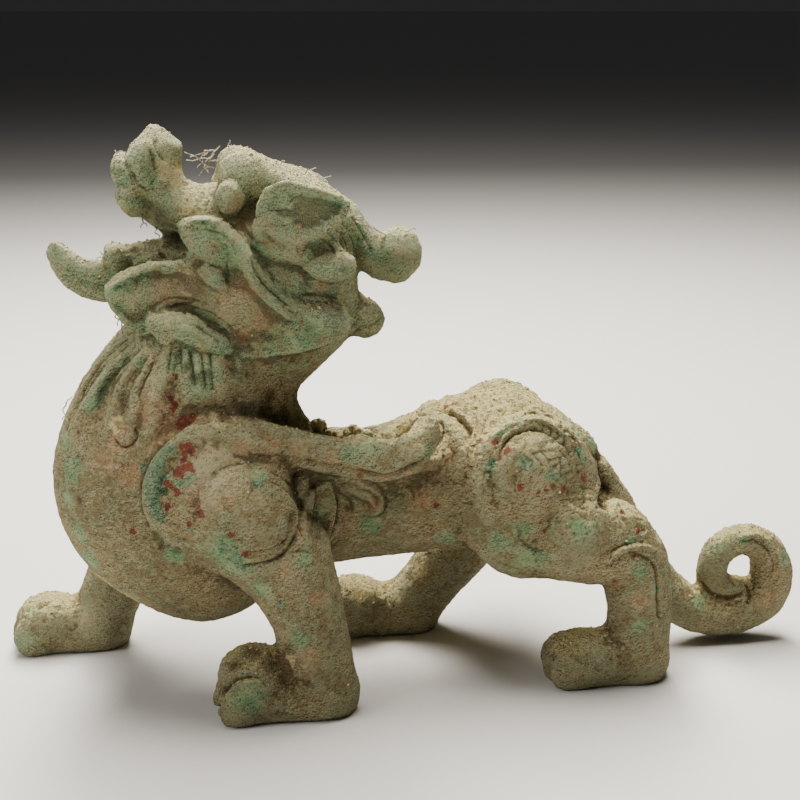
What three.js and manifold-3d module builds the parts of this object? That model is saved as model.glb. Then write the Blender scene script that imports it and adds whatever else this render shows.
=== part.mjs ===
// A cast bronze guardian beast, striding with its head raised, its mouth open and its tail curled, in
// the manner of East Asian tomb figures. It is one casting, so it is one mesh.
//
// Units are millimetres. +Z is up, the head points to -X, and the beast's left side faces -Y. The
// origin is on the ground under the middle of the beast.
//
// The form is made as a founder makes the wax: rounded masses and strips are pressed into one another,
// then carved. The wax is a grid of signed distances, negative inside. Its skin is taken as a mesh,
// thinned to fewer triangles, and the soles are sawn flat at the ground.

import * as THREE from "three";
import { mergeVertices } from "three/addons/utils/BufferGeometryUtils.js";
import Module from "manifold-3d";

// Driving dimensions

const WAX_LOW = new THREE.Vector3(-142, -50, -6); // the corners of the wax grid
const WAX_HIGH = new THREE.Vector3(154, 50, 198);
const WAX_STEP = 1.5; // the spacing of the wax grid
const SKIN_TRIANGLES = 9300; // what the skin is thinned to
const SOLE = 3; // how far the feet run below the ground before they are sawn flat

const FRONT_TRACK = 31.5; // middle of the beast to the middle of a front foot
const HIND_TRACK = 26; // middle of the beast to the middle of a hind foot
const FOOT_RADIUS = 10.5; // half the width of a foot
const BACK_TOP = 95.5; // ground to the top of the rump
const CREST_TOP = 188; // ground to the tip of the nose
const SIDES = [-1, 1]; // the beast's left and its right

// Shapes for the wax. Each has the corners of a box that holds it, and its signed distance.

// A rounded mass with its radii along its own axes. Pitch, in degrees, raises its -X end.
function mass(centre, radii, pitch = 0) {
  const cos = Math.cos(THREE.MathUtils.degToRad(pitch));
  const sin = Math.sin(THREE.MathUtils.degToRad(pitch));
  const [cx, cy, cz] = centre;
  const [rx, ry, rz] = radii;
  const reach = Math.max(...radii);
  return {
    low: centre.map((c) => c - reach),
    high: centre.map((c) => c + reach),
    distance(x, y, z) {
      const a = (cos * (x - cx) - sin * (z - cz)) / rx;
      const b = (y - cy) / ry;
      const c = (sin * (x - cx) + cos * (z - cz)) / rz;
      const out = Math.hypot(a, b, c);
      const slope = Math.hypot(a / rx, b / ry, c / rz);
      return slope > 0 ? (out * (out - 1)) / slope : -Math.min(rx, ry, rz);
    },
  };
}

// A round strip along a smooth curve through points of x, y, z and radius. Its section is widened
// along Y by the factor wide. A closed strip joins its ends.
function strip(points, { wide = 1, closed = false, steps = 4 } = {}) {
  const curve = new THREE.CatmullRomCurve3(
    points.map(([x, y, z]) => new THREE.Vector3(x, y, z)),
    closed,
    "centripetal",
  );
  const spans = closed ? points.length : points.length - 1;
  const count = spans * steps;
  const knots = [];
  for (let i = 0; i <= count; i++) {
    const span = Math.min(Math.floor(i / steps), spans - 1);
    const from = points[span][3];
    const to = points[(span + 1) % points.length][3];
    const p = curve.getPoint(i / count);
    knots.push([p.x, p.y, p.z, THREE.MathUtils.lerp(from, to, i / steps - span)]);
  }
  const reach = Math.max(...points.map((p) => p[3])) * Math.max(1, wide);
  return {
    low: [0, 1, 2].map((axis) => Math.min(...knots.map((knot) => knot[axis])) - reach),
    high: [0, 1, 2].map((axis) => Math.max(...knots.map((knot) => knot[axis])) + reach),
    distance(x, y, z) {
      let best = Infinity;
      for (let i = 0; i < count; i++) {
        const [ax, ay, az, ar] = knots[i];
        const [bx, by, bz, br] = knots[i + 1];
        const ux = bx - ax;
        const uy = (by - ay) / wide;
        const uz = bz - az;
        const px = x - ax;
        const py = (y - ay) / wide;
        const pz = z - az;
        const along = (px * ux + py * uy + pz * uz) / (ux * ux + uy * uy + uz * uz);
        const t = Math.min(1, Math.max(0, along));
        const away = Math.hypot(px - t * ux, py - t * uy, pz - t * uz) - ar - t * (br - ar);
        if (away < best) best = away;
      }
      return best;
    },
  };
}

// The lesser of two distances, rounded off over blend where they are alike.
function softMin(a, b, blend) {
  const h = Math.max(blend - Math.abs(a - b), 0) / blend;
  return Math.min(a, b) - (h * h * blend) / 4;
}

class Wax {
  constructor(low, high, step) {
    this.low = low;
    this.step = step;
    this.count = high.clone().sub(low).divideScalar(step).ceil().addScalar(1).toArray();
    this.stride = [1, this.count[0], this.count[0] * this.count[1]];
    this.field = new Float32Array(this.stride[2] * this.count[2]).fill(1000);
  }

  // Changes the grid points in a shape's box, and those within margin of it.
  work(shape, margin, change) {
    const { low, step, count, stride, field } = this;
    const base = low.toArray();
    const index = (v, axis) => (v - base[axis]) / step;
    const from = shape.low.map((v, axis) => Math.max(0, Math.floor(index(v - margin, axis))));
    const to = shape.high.map((v, axis) =>
      Math.min(count[axis] - 1, Math.ceil(index(v + margin, axis))),
    );
    for (let k = from[2]; k <= to[2]; k++)
      for (let j = from[1]; j <= to[1]; j++)
        for (let i = from[0]; i <= to[0]; i++) {
          const at = i + j * stride[1] + k * stride[2];
          const [x, y, z] = [base[0] + i * step, base[1] + j * step, base[2] + k * step];
          field[at] = change(field[at], shape.distance(x, y, z));
        }
  }

  press(shape, blend = 4) {
    this.work(shape, blend + 4, (old, distance) => softMin(old, distance, blend));
  }

  carve(shape, blend = 1.5) {
    this.work(shape, blend + 4, (old, distance) => -softMin(-old, distance, blend));
  }

  // The y of the outermost skin at x and z, on the left (side -1) or on the right (side 1).
  flank(x, z, side) {
    const { low, step, count, stride, field } = this;
    const i = Math.round((x - low.x) / step);
    const k = Math.round((z - low.z) / step);
    for (let n = 1; n < count[1]; n++) {
      const j = side < 0 ? n : count[1] - 1 - n;
      const at = i + j * stride[1] + k * stride[2];
      if (field[at] > 0) continue;
      const outer = field[at + side * stride[1]];
      return low.y + (j + side * (field[at] / (field[at] - outer))) * step;
    }
    return 0;
  }

  // The distance at any point, between the grid points.
  at(x, y, z) {
    const { low, step, stride, field } = this;
    const [u, v, w] = [(x - low.x) / step, (y - low.y) / step, (z - low.z) / step];
    const [i, j, k] = [u, v, w].map(Math.floor);
    const base = i + j * stride[1] + k * stride[2];
    let sum = 0;
    for (let c = 0; c < 8; c++) {
      const share = [u - i, v - j, w - k].map((t, axis) => ((c >> axis) & 1 ? t : 1 - t));
      const corner = (c & 1) + ((c >> 1) & 1) * stride[1] + ((c >> 2) & 1) * stride[2];
      sum += share[0] * share[1] * share[2] * field[base + corner];
    }
    return sum;
  }

  // The point of the skin nearest to a point that lies close to it.
  settle(x, y, z) {
    let point = [x, y, z];
    for (let i = 0; i < 6; i++) {
      const here = this.at(...point);
      const slope = [0, 1, 2].map((axis) => {
        const ahead = point.map((v, a) => (a === axis ? v + 1 : v));
        return this.at(...ahead) - here;
      });
      const steep = slope.reduce((sum, v) => sum + v * v, 0);
      point = point.map((v, axis) => v - (here * slope[axis]) / steep);
    }
    return point;
  }

  // A strip that follows the flank through points of x, z and radius, sunk by a share of its radius.
  onFlank(points, side, sunk = 0.3) {
    return strip(points.map(([x, z, r]) => [x, this.flank(x, z, side) - side * r * sunk, z, r]));
  }

  // The skin as vertices and triangles. Each grid cell is split into six tetrahedra.
  skin() {
    const { low, step, count, stride, field } = this;
    const corners = [0, 1, 2, 3, 4, 5, 6, 7].map(
      (c) => (c & 1) * stride[0] + ((c >> 1) & 1) * stride[1] + ((c >> 2) & 1) * stride[2],
    );
    const positions = [];
    const triangles = [];
    const known = new Map();
    const place = (at) => {
      const layer = at % stride[2];
      return [layer % stride[1], Math.floor(layer / stride[1]), Math.floor(at / stride[2])];
    };
    const crossing = (a, b) => {
      const key = Math.min(a, b) * field.length + Math.max(a, b);
      if (!known.has(key)) {
        const t = THREE.MathUtils.clamp(field[a] / (field[a] - field[b]), 0.05, 0.95);
        const [p, q] = [place(a), place(b)];
        const at = (axis) => step * (p[axis] + t * (q[axis] - p[axis]));
        known.set(key, positions.length / 3);
        positions.push(low.x + at(0), low.y + at(1), low.z + at(2));
      }
      return known.get(key);
    };
    const add = (a, b, c, flip) => triangles.push(flip ? [a, c, b] : [a, b, c]);
    for (let k = 0; k < count[2] - 1; k++)
      for (let j = 0; j < count[1] - 1; j++)
        for (let i = 0; i < count[0] - 1; i++) {
          const base = i + j * stride[1] + k * stride[2];
          const filled = corners.filter((c) => field[base + c] < 0).length;
          if (filled === 0 || filled === 8) continue;
          for (const tetrahedron of CELL_SPLIT) {
            const all = tetrahedron.map((c) => base + corners[c]);
            const wet = all.filter((at) => field[at] < 0);
            const dry = all.filter((at) => field[at] >= 0);
            if (wet.length === 0 || dry.length === 0) continue;
            const flip = oddSwaps([...wet, ...dry], all);
            if (wet.length === 2) {
              const [p, q] = dry.map((at) => crossing(wet[0], at));
              const [s, r] = dry.map((at) => crossing(wet[1], at));
              add(p, q, r, flip);
              add(p, r, s, flip);
            } else {
              const cut = wet.length === 1 ? dry.map((d) => [wet[0], d]) : wet.map((w) => [w, dry[0]]);
              const [p, q, r] = cut.map(([w, d]) => crossing(w, d));
              add(p, q, r, flip);
            }
          }
        }
    return { positions, triangles };
  }
}

// The six tetrahedra round the long diagonal of a cell, as corner numbers whose bits are x, y and z.
const CELL_SPLIT = [
  [0, 1, 3, 7],
  [0, 3, 2, 7],
  [0, 2, 6, 7],
  [0, 6, 4, 7],
  [0, 4, 5, 7],
  [0, 5, 1, 7],
];

// Whether an odd number of swaps turns one order of the same things into the other.
function oddSwaps(order, reference) {
  const rank = order.map((n) => reference.indexOf(n));
  let swaps = 0;
  rank.forEach((a, i) => rank.slice(i + 1).forEach((b) => (swaps += a > b ? 1 : 0)));
  return swaps % 2 === 1;
}

// A queue that gives back the item of least cost first.
class Queue {
  items = [];

  push(item) {
    const { items } = this;
    let at = items.length;
    while (at > 0) {
      const parent = (at - 1) >> 1;
      if (items[parent].cost <= item.cost) break;
      items[at] = items[parent];
      at = parent;
    }
    items[at] = item;
  }

  pop() {
    const { items } = this;
    const top = items[0];
    const last = items.pop();
    if (items.length === 0) return top;
    let at = 0;
    for (;;) {
      let child = 2 * at + 1;
      if (child >= items.length) break;
      if (child + 1 < items.length && items[child + 1].cost < items[child].cost) child++;
      if (items[child].cost >= last.cost) break;
      items[at] = items[child];
      at = child;
    }
    items[at] = last;
    return top;
  }
}

// Thins a closed skin by closing up its edges one by one, the least missed first. An edge costs the
// squared distance of the point that replaces it to the planes of the faces that have met there.
class Thinner {
  constructor({ positions, triangles }) {
    this.points = [];
    for (let i = 0; i < positions.length; i += 3) this.points.push(positions.slice(i, i + 3));
    this.faces = triangles;
    this.left = triangles.length;
    this.around = this.points.map(() => []);
    this.errors = this.points.map(() => new Float64Array(10));
    this.moves = new Int32Array(this.points.length);
    this.faces.forEach((face, f) => face.forEach((v) => this.around[v].push(f)));
    this.faces.forEach((face) => this.addPlane(face));
  }

  normal([a, b, c], moved = -1, to = null) {
    const [p, q, r] = [a, b, c].map((v) => (v === moved ? to : this.points[v]));
    const [ux, uy, uz] = [q[0] - p[0], q[1] - p[1], q[2] - p[2]];
    const [vx, vy, vz] = [r[0] - p[0], r[1] - p[1], r[2] - p[2]];
    return [uy * vz - uz * vy, uz * vx - ux * vz, ux * vy - uy * vx];
  }

  // Adds a face's plane, and a light pull to stay in place, to the error of its three vertices.
  addPlane(face) {
    const n = this.normal(face);
    const size = Math.hypot(...n);
    if (size === 0) return;
    const [a, b, c] = n.map((v) => v / size);
    const p = this.points[face[0]];
    const d = -(a * p[0] + b * p[1] + c * p[2]);
    const plane = [a * a, a * b, a * c, a * d, b * b, b * c, b * d, c * c, c * d, d * d];
    for (const v of face) {
      const [x, y, z] = this.points[v];
      const stay = [1, 0, 0, -x, 1, 0, -y, 1, -z, x * x + y * y + z * z];
      const error = this.errors[v];
      for (let i = 0; i < 10; i++) error[i] += size * (plane[i] + STAY_SHARE * stay[i]);
    }
  }

  // The best point to replace the edge from a to b, and what that costs.
  offer(a, b) {
    const q = this.errors[a].map((v, i) => v + this.errors[b][i]);
    const [xx, xy, xz, xd, yy, yz, yd, zz, zd, dd] = q;
    const m = new THREE.Matrix3().set(xx, xy, xz, xy, yy, yz, xz, yz, zz);
    const p = new THREE.Vector3(-xd, -yd, -zd).applyMatrix3(m.invert()).toArray();
    const [x, y, z] = p;
    const cost =
      xx * x * x + yy * y * y + zz * z * z + dd +
      2 * (xy * x * y + xz * x * z + yz * y * z + xd * x + yd * y + zd * z);
    return { cost, a, b, p, moves: this.moves[a] + this.moves[b] };
  }

  neighbours(v) {
    const found = new Set();
    for (const f of this.around[v]) for (const n of this.faces[f]) if (n !== v) found.add(n);
    return found;
  }

  // Whether closing the edge keeps the skin closed and turns no face over.
  sound({ a, b, p }) {
    const nearB = this.neighbours(b);
    const shared = [...this.neighbours(a)].filter((n) => nearB.has(n));
    if (shared.length !== 2) return false;
    return [a, b].every((v) =>
      this.around[v].every((f) => {
        const face = this.faces[f];
        if (face.includes(a) && face.includes(b)) return true;
        const [x, y, z] = this.normal(face);
        const [s, t, u] = this.normal(face, v, p);
        const alike = x * s + y * t + z * u;
        return alike > MOST_TURN * Math.hypot(x, y, z) * Math.hypot(s, t, u);
      }),
    );
  }

  close({ a, b, p }) {
    this.points[a] = p;
    this.errors[b].forEach((v, i) => (this.errors[a][i] += v));
    for (const f of this.around[b]) {
      const face = this.faces[f];
      if (face.includes(a)) {
        for (const v of face) if (v !== b) this.around[v] = this.around[v].filter((g) => g !== f);
        this.faces[f] = null;
        this.left--;
      } else {
        face[face.indexOf(b)] = a;
        this.around[a].push(f);
      }
    }
    this.around[b] = [];
    this.moves[a] += 1;
    this.moves[b] = -1e9;
  }

  run(target) {
    const queue = new Queue();
    for (const face of this.faces)
      face.forEach((a, i) => {
        const b = face[(i + 1) % 3];
        if (a < b) queue.push(this.offer(a, b));
      });
    while (this.left > target && queue.items.length > 0) {
      const edge = queue.pop();
      if (edge.moves !== this.moves[edge.a] + this.moves[edge.b] || !this.sound(edge)) continue;
      this.close(edge);
      for (const n of this.neighbours(edge.a)) queue.push(this.offer(edge.a, n));
    }
    return this.geometry();
  }

  geometry() {
    const rank = new Map();
    const positions = [];
    const index = [];
    for (const face of this.faces.filter(Boolean))
      for (const v of face) {
        if (!rank.has(v)) {
          rank.set(v, rank.size);
          positions.push(...this.points[v]);
        }
        index.push(rank.get(v));
      }
    const geometry = new THREE.BufferGeometry();
    geometry.setAttribute("position", new THREE.Float32BufferAttribute(positions, 3));
    geometry.setIndex(index);
    return geometry;
  }
}

const STAY_SHARE = 0.002; // how much a vertex's own place counts beside its planes
const MOST_TURN = 0.2; // the cosine of the most that a face may turn in one closing

// The breast is a great ball that sags between the front legs. The barrel and the rump follow it.
function body(wax) {
  wax.press(mass([-70.5, 0, 73], [43.5, 34, 46]));
  wax.press(mass([-66, 0, 57], [32, 27, 35.5]));
  const barrel = [[-52, 0, 66, 28], [-30, 0, 63, 23], [-10, 0, 63, 22], [18, 0, 66.5, 24], [34, 0, 69, 25]];
  wax.press(strip(barrel), 6);
  wax.press(mass([33.5, 0, BACK_TOP - 26.5], [36, 30, 26.5]), 6);
}

// The neck leans back and widens upwards into the head.
function neck(wax) {
  wax.press(strip([[-70, 0, 92, 22], [-55, 0, 110, 20.5], [-35, 0, 131, 22.5]]), 6);
  wax.press(mass([-66, 0, 108], [28, 25, 22], 12), 8);
}

// The mane hangs from the throat in locks that run out on the breast: round the front, then along the
// flank, where the last three are short.
function mane(wax, side) {
  const radii = [2, 2.8, 2.3, 1];
  for (const out of [3.5, 10]) {
    const fall = [[-83, 122], [-92, 112], [-100, 101], [-105, 91]];
    const path = fall.map(([x, z]) => wax.settle(x + out * 0.2, side * out, z));
    wax.press(strip(path.map((p, i) => [...p, radii[i]])), 1.2);
  }
  for (const n of [0, 1, 2]) {
    const long = [[-82 + 4 * n, 121], [-88 + 5 * n, 110], [-93 + 6 * n, 100], [-96 + 7 * n, 93]];
    const short = [[-69 + 4.5 * n, 120], [-69 + 4.5 * n, 114], [-69 + 4.8 * n, 107]];
    for (const lock of [long, short])
      wax.press(wax.onFlank(lock.map(([x, z], i) => [x, z, radii[i]]), side, 0.2), 1.2);
  }
}

// A front leg: the shoulder's disc, the arm along a path, and the paw.
function frontLeg(wax, side, path, reach) {
  const y = (v) => side * v;
  wax.press(mass([-61, y(27), 76], [23, 13.5, 25]), 3);
  wax.press(strip(path.map(([x, out, z, r]) => [x, y(out), z, r])), 4);
  paw(wax, y(FRONT_TRACK), reach);
}

function hindLeg(wax, side, path, reach) {
  const y = (v) => side * v;
  wax.press(mass([42, y(22), 65], [24, 14, 28]), 4);
  wax.press(strip(path.map(([x, out, z, r]) => [x, y(out), z, r])), 4);
  paw(wax, y(HIND_TRACK), reach);
}

// A clenched paw that reaches from heel to toe. Its back rises to the knuckle's height over three toes.
function paw(wax, y, { heel, toe, knuckle }) {
  wax.press(strip([[heel - 10.5, y, 5, FOOT_RADIUS], [toe + 14, y, 7, FOOT_RADIUS]]), 4);
  wax.press(mass([toe + 13.5, y, knuckle - 9], [11.5, 11, 9]), 3);
  for (const spread of [-1, 0, 1])
    wax.press(mass([toe + 7.5 + Math.abs(spread), y + spread * 6.6, 6], [7.5, 4.4, 8.5]), 1.2);
}

function legs(wax) {
  const nearFront = [[-58, 27, 70, 18], [-41, 30, 51, 15], [-34, 31, 32, 12], [-30, 31, 8, 11.5]];
  const farFront = [[-66, 27, 66, 18], [-84, 30, 44, 14], [-96, 31, 26, 11.5], [-103, 31, 9, 10.5]];
  const nearHind = [[56, 26, 54, 17], [75, 27, 45, 12.5], [80, 27, 26, 11], [80, 26, 8, 11]];
  const farHind = [[43, 25, 52, 18], [33, 25, 37, 13], [20.5, 25, 21, 11], [10, 25, 9, 10.5]];
  frontLeg(wax, -1, nearFront, { heel: -18, toe: -66, knuckle: 24 });
  frontLeg(wax, 1, farFront, { heel: -93, toe: -135, knuckle: 20 });
  hindLeg(wax, -1, nearHind, { heel: 91, toe: 46.5, knuckle: 16 });
  hindLeg(wax, 1, farHind, { heel: 21, toe: -25, knuckle: 21 });
  wax.press(mass([-33, -29, 57], [7, 8, 7]), 2);
}

// The tail hangs from the rump, sweeps back over the ground and curls up into a flat ring.
function tail(wax) {
  const path = [
    [62, 0, 74, 9],
    [74, 0, 58, 8],
    [82, -1, 45, 7.5],
    [91, -2, 30, 7.5],
    [101, -3, 17, 7.8],
    [112, -4, 10.5, 8],
    [125, -4, 9.6, 8.2],
    [137, -4, 15.5, 8.2],
    [138.8, -4, 26, 7.6],
    [134.5, -4, 34.8, 6.2],
    [126, -4, 38, 5.5],
    [118, -4, 34, 5.6],
    [115.6, -4, 26, 5.7],
    [119, -4, 19.6, 5.6],
    [127.5, -4, 18.4, 4.8],
  ];
  wax.press(strip(path), 1.2);
  wax.press(mass([80, 1, 51], [6, 7, 7]), 3);
}

// The skull: an upturned snout with a lumpy nose, brows, eyes and two ridges over the crown.
function skull(wax) {
  wax.press(mass([-38, 0, 147], [25, 20, 21]), 6);
  const snout = [[-52, 0, 157, 13], [-64, 0, 160, 9], [-74, 0, 165, 9], [-77, 0, 176, 8.5]];
  wax.press(strip(snout, { wide: 1.2 }), 4);
  wax.press(mass([-74, 0, CREST_TOP - 7], [6.8, 7, 6.5]), 3);
  for (const side of SIDES) {
    wax.press(mass([-81, side * 6, 173], [6, 5.5, 8.5], 20), 1.5);
    wax.press(mass([-83.5, side * 5, 165], [4.5, 5, 5]), 1.5);
    wax.press(mass([-50, side * 9, 172], [7.5, 7, 8.5]), 2.5);
    wax.press(mass([-54, side * 15.5, 167], [4.8, 4.5, 5]), 1.2);
    wax.press(strip([[-45, side * 8, 171, 6.5], [-33, side * 9, 166, 6], [-20, side * 8, 157, 6]]), 4);
  }
  wax.press(strip([[-46, 0, 171, 7], [-33, 0, 167, 7], [-18, 0, 157, 7]]), 4);
}

// A leaf-shaped ear, hollowed, with a thin raised rim, on a cushion of hair.
function ear(wax, side) {
  const y = (v) => side * v;
  wax.press(mass([-33, y(18), 158], [13, 8, 8], 6), 3);
  wax.press(mass([-33, y(25), 163], [13.5, 3.5, 9], 6), 1.5);
  wax.carve(mass([-33, y(29.5), 163.5], [11.5, 4, 6.8], 6), 1);
  wax.press(strip([[-44, y(19), 155, 4], [-34, y(22), 151, 4.5], [-25, y(20), 152, 4]]), 2);
  const rim = [
    [-46, 26, 164],
    [-44, 26, 169.5],
    [-38, 27, 171.5],
    [-28, 28, 169.5],
    [-19, 28, 165],
    [-25, 28, 159],
    [-35, 27, 155],
    [-43, 26, 158],
  ];
  wax.press(strip(rim.map(([x, out, z]) => [x, y(out), z, 1.5]), { closed: true }), 1);
}

// One horn rolls up into a ball behind the crown, and a smaller curl rolls up at the nape.
function horn(wax) {
  const strap = [[-20, 0, 158, 6], [-12, 0, 151, 5.5], [-6, 0, 143, 5.5], [0, 0, 141, 5.5]];
  wax.press(strip(strap, { wide: 1.3 }), 2);
  wax.press(mass([1, 0, 145.5], [8, 8.5, 9]), 1.5);
  wax.press(strip([[-22, 0, 130, 7], [-10, 0, 124, 6.5]], { wide: 1.3 }), 2);
}

// The upper lip turns out as a broad leaf. Its edge runs back over the cheek as a ridge, above which
// the cheek is hollow, and it ends in a second leaf that points backwards. A tuft sits above it.
function cheek(wax, side) {
  const y = (v) => side * v;
  wax.press(mass([-46, y(14), 134], [20, 9, 13], 14), 4);
  wax.carve(mass([-41, y(25), 146], [8, 5, 8], 30), 3);
  wax.press(mass([-58, y(17), 152], [14, 6, 6.5], 35), 3);
  const ridge = [
    [-69, 14, 157, 1.8],
    [-62, 19, 159.5, 2.2],
    [-55, 22, 156.5, 2.4],
    [-51, 23, 149, 2.5],
    [-46, 23, 140.5, 2.5],
    [-39, 23, 134, 2.5],
    [-32, 24, 131.5, 2.4],
    [-25, 24, 130.5, 2],
  ];
  wax.press(strip(ridge.map(([x, out, z, r]) => [x, y(out), z, r])), 2);
  wax.press(mass([-31, y(20), 127], [13, 5.5, 6.5], -4), 2.5);
  wax.press(strip([[-20, y(22), 125, 1.8], [-33, y(23), 121.5, 2.2], [-47, y(20), 121, 2.2]]), 2);
  wax.press(mass([-24, y(21), 146.5], [8.5, 5.5, 4.8], 8), 1.5);
}

// The lower jaw with its tongue, the curled tusk in front, the leaf-shaped lips, fangs and beard.
function mouth(wax) {
  wax.press(mass([-70, 0, 136], [21, 13, 9], 12), 4);
  wax.press(mass([-74, 0, 146], [15, 9, 6], 4), 2);
  wax.press(mass([-89, 0, 146], [4, 8, 5]), 1.5);
  const tusk = [[-88, 0, 141, 5], [-97, 0, 141.5, 4.8], [-103.5, 0, 144.5, 4.2], [-108, 0, 150.5, 2.8]];
  wax.press(strip(tusk), 2);
  for (const side of SIDES) {
    const y = (v) => side * v;
    wax.press(mass([-76, y(12), 137], [17, 4.5, 9.5], 4), 2);
    const lip = [[-92, 9, 139], [-87, 12, 143], [-79, 14, 146], [-70, 15, 146], [-61, 15, 141]];
    wax.press(strip(lip.map(([x, out, z]) => [x, y(out), z, 1.8])), 1);
    const under = [[-92, 9, 138], [-89, 12, 131], [-82, 14, 127.5], [-74, 14, 128.5]];
    wax.press(strip(under.map(([x, out, z]) => [x, y(out), z, 1.8])), 1);
    wax.press(mass([-67, y(18), 123.5], [16, 5, 6], 27), 1.2);
    wax.press(strip([[-65, y(14), 148, 3], [-60, y(16), 142, 2.6], [-56, y(17), 137, 1.6]]), 1.5);
  }
}

// A wing lies along each flank: a band from the shoulder that turns up at its tip. The right wing
// lies lower on the back than the left one.
function wing(wax, side) {
  const drop = side > 0 ? 14 : 0;
  const lift = (points) => points.map(([x, out, z, r]) => [x, side * out, z - drop, r]);
  const band = [
    [-62, 27, 94, 7],
    [-45, 27, 91, 6.5],
    [-28, 26, 86.5, 6],
    [-12, 25, 83, 5.6],
    [0, 25, 84, 5.6],
    [6, 25, 89, 4.6],
    [8, 25, 95, 2.6],
  ];
  const edge = [[-60, 28, 99, 2], [-45, 29, 96, 2], [-30, 29, 92, 2], [-18, 28, 88, 2], [-8, 27, 87, 2]];
  wax.press(mass([-16, side * 12, 78 - drop], [32, 14, 8]), 4);
  wax.press(strip(lift(band)), 3);
  wax.press(strip(lift(edge)), 1.5);
}

// Raised lines on the flanks: the shoulder's rim and boss, the curls behind it, and the haunch's arcs.
function relief(wax, side) {
  const arc = (x, z, radius, from, to, r) => {
    const points = [];
    for (let i = 0; i <= 6; i++) {
      const angle = THREE.MathUtils.degToRad(THREE.MathUtils.lerp(from, to, i / 6));
      points.push([x + radius * Math.cos(angle), z + radius * Math.sin(angle), r]);
    }
    return points;
  };
  wax.press(wax.onFlank(arc(-62, 78, 20, 225, -30, 2.2), side), 1);
  wax.press(mass([-54, side * 35.5, 74], [15, 8, 15]), 1);
  wax.carve(wax.onFlank(arc(-54, 74, 15.5, 190, -60, 1.1), side, 0), 1);
  wax.press(wax.onFlank([[-31, 78, 3], [-29, 69, 5], [-25, 58, 3]], side), 1);
  wax.press(wax.onFlank(arc(-15, 71, 5.5, 270, 0, 1.9), side), 1);
  wax.press(wax.onFlank(arc(41, 74, 19, 215, 0, 2), side), 1);
  wax.carve(wax.onFlank(arc(41, 74, 15.5, 210, 10, 1), side, 0), 1);
  wax.press(wax.onFlank(arc(41, 76, 11.5, 200, 40, 1.8), side), 1);
  wax.press(wax.onFlank(arc(9, 82, 9.5, 80, -30, 1.8), side), 1);
}

// The whole wax, in the order in which a modeller would build it up.
function model() {
  const wax = new Wax(WAX_LOW, WAX_HIGH, WAX_STEP);
  body(wax);
  neck(wax);
  legs(wax);
  tail(wax);
  skull(wax);
  horn(wax);
  mouth(wax);
  for (const side of SIDES) {
    mane(wax, side);
    cheek(wax, side);
    ear(wax, side);
    wing(wax, side);
    relief(wax, side);
  }
  return wax;
}

const wasm = await Module();
wasm.setup();

function toSolid(geometry) {
  const plain = geometry.clone();
  plain.deleteAttribute("normal");
  plain.deleteAttribute("uv");
  const merged = mergeVertices(plain);
  const vertProperties = new Float32Array(merged.attributes.position.array);
  const triVerts = new Uint32Array(merged.index.array);
  return new wasm.Manifold(new wasm.Mesh({ numProp: 3, vertProperties, triVerts }));
}

function toGeometry(solid) {
  const { vertProperties, triVerts } = solid.getMesh();
  const geometry = new THREE.BufferGeometry();
  geometry.setAttribute("position", new THREE.BufferAttribute(vertProperties, 3));
  geometry.setIndex(new THREE.BufferAttribute(triVerts, 1));
  return geometry;
}

// Saws off what lies below the ground, so that the beast stands on four flat soles.
function sawSoles(skin) {
  const size = WAX_HIGH.clone().sub(WAX_LOW);
  const ground = new THREE.BoxGeometry(size.x, size.y, 2 * SOLE + 20);
  ground.translate((WAX_LOW.x + WAX_HIGH.x) / 2, 0, -SOLE - 10);
  return toGeometry(toSolid(skin).subtract(toSolid(ground)));
}

const casting = sawSoles(new Thinner(model().skin()).run(SKIN_TRIANGLES));
casting.computeBoundingBox();
const middle = casting.boundingBox.getCenter(new THREE.Vector3());
casting.translate(-middle.x, -middle.y, 0);
casting.computeVertexNormals();

const patina = new THREE.MeshStandardMaterial({ color: "#8f9272", roughness: 0.95, metalness: 0.1 });
const beast = new THREE.Mesh(casting, patina);
beast.name = "bronze_beast";

const figure = new THREE.Group();
figure.add(beast);

export default figure;
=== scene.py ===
# %% [markdown]
# # A cast bronze guardian beast
# The real object is one hollow bronze casting, about 282 mm long. It was modelled in wax, invested,
# cast, and then lay in the ground for a long time. What the eye sees today is the wax modeller's
# carving, blunted by corrosion, under green patina and a crust of earth. The lesson follows that
# order: first the wax, then the carving, then the corrosion, and last the earth and its colours.
#
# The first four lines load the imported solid. It gives the place and the size of everything here.

# %% Load the frame
import math
import random

import bmesh
import bpy
import numpy as np
from mathutils import Matrix, Vector, noise
from mathutils.bvhtree import BVHTree


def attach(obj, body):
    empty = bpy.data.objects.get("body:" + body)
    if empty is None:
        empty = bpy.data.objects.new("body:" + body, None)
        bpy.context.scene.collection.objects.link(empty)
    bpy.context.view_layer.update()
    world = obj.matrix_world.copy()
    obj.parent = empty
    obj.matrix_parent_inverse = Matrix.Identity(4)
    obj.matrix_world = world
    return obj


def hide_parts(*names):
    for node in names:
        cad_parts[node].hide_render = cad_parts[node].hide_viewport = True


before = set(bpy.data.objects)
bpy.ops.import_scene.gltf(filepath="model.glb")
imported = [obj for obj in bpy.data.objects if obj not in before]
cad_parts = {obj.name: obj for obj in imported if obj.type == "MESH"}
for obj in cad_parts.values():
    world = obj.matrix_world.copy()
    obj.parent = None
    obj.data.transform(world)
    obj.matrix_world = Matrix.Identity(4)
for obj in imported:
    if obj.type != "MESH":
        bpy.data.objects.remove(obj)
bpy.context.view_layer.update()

random.seed(7)
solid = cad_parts["bronze_beast"]

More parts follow.
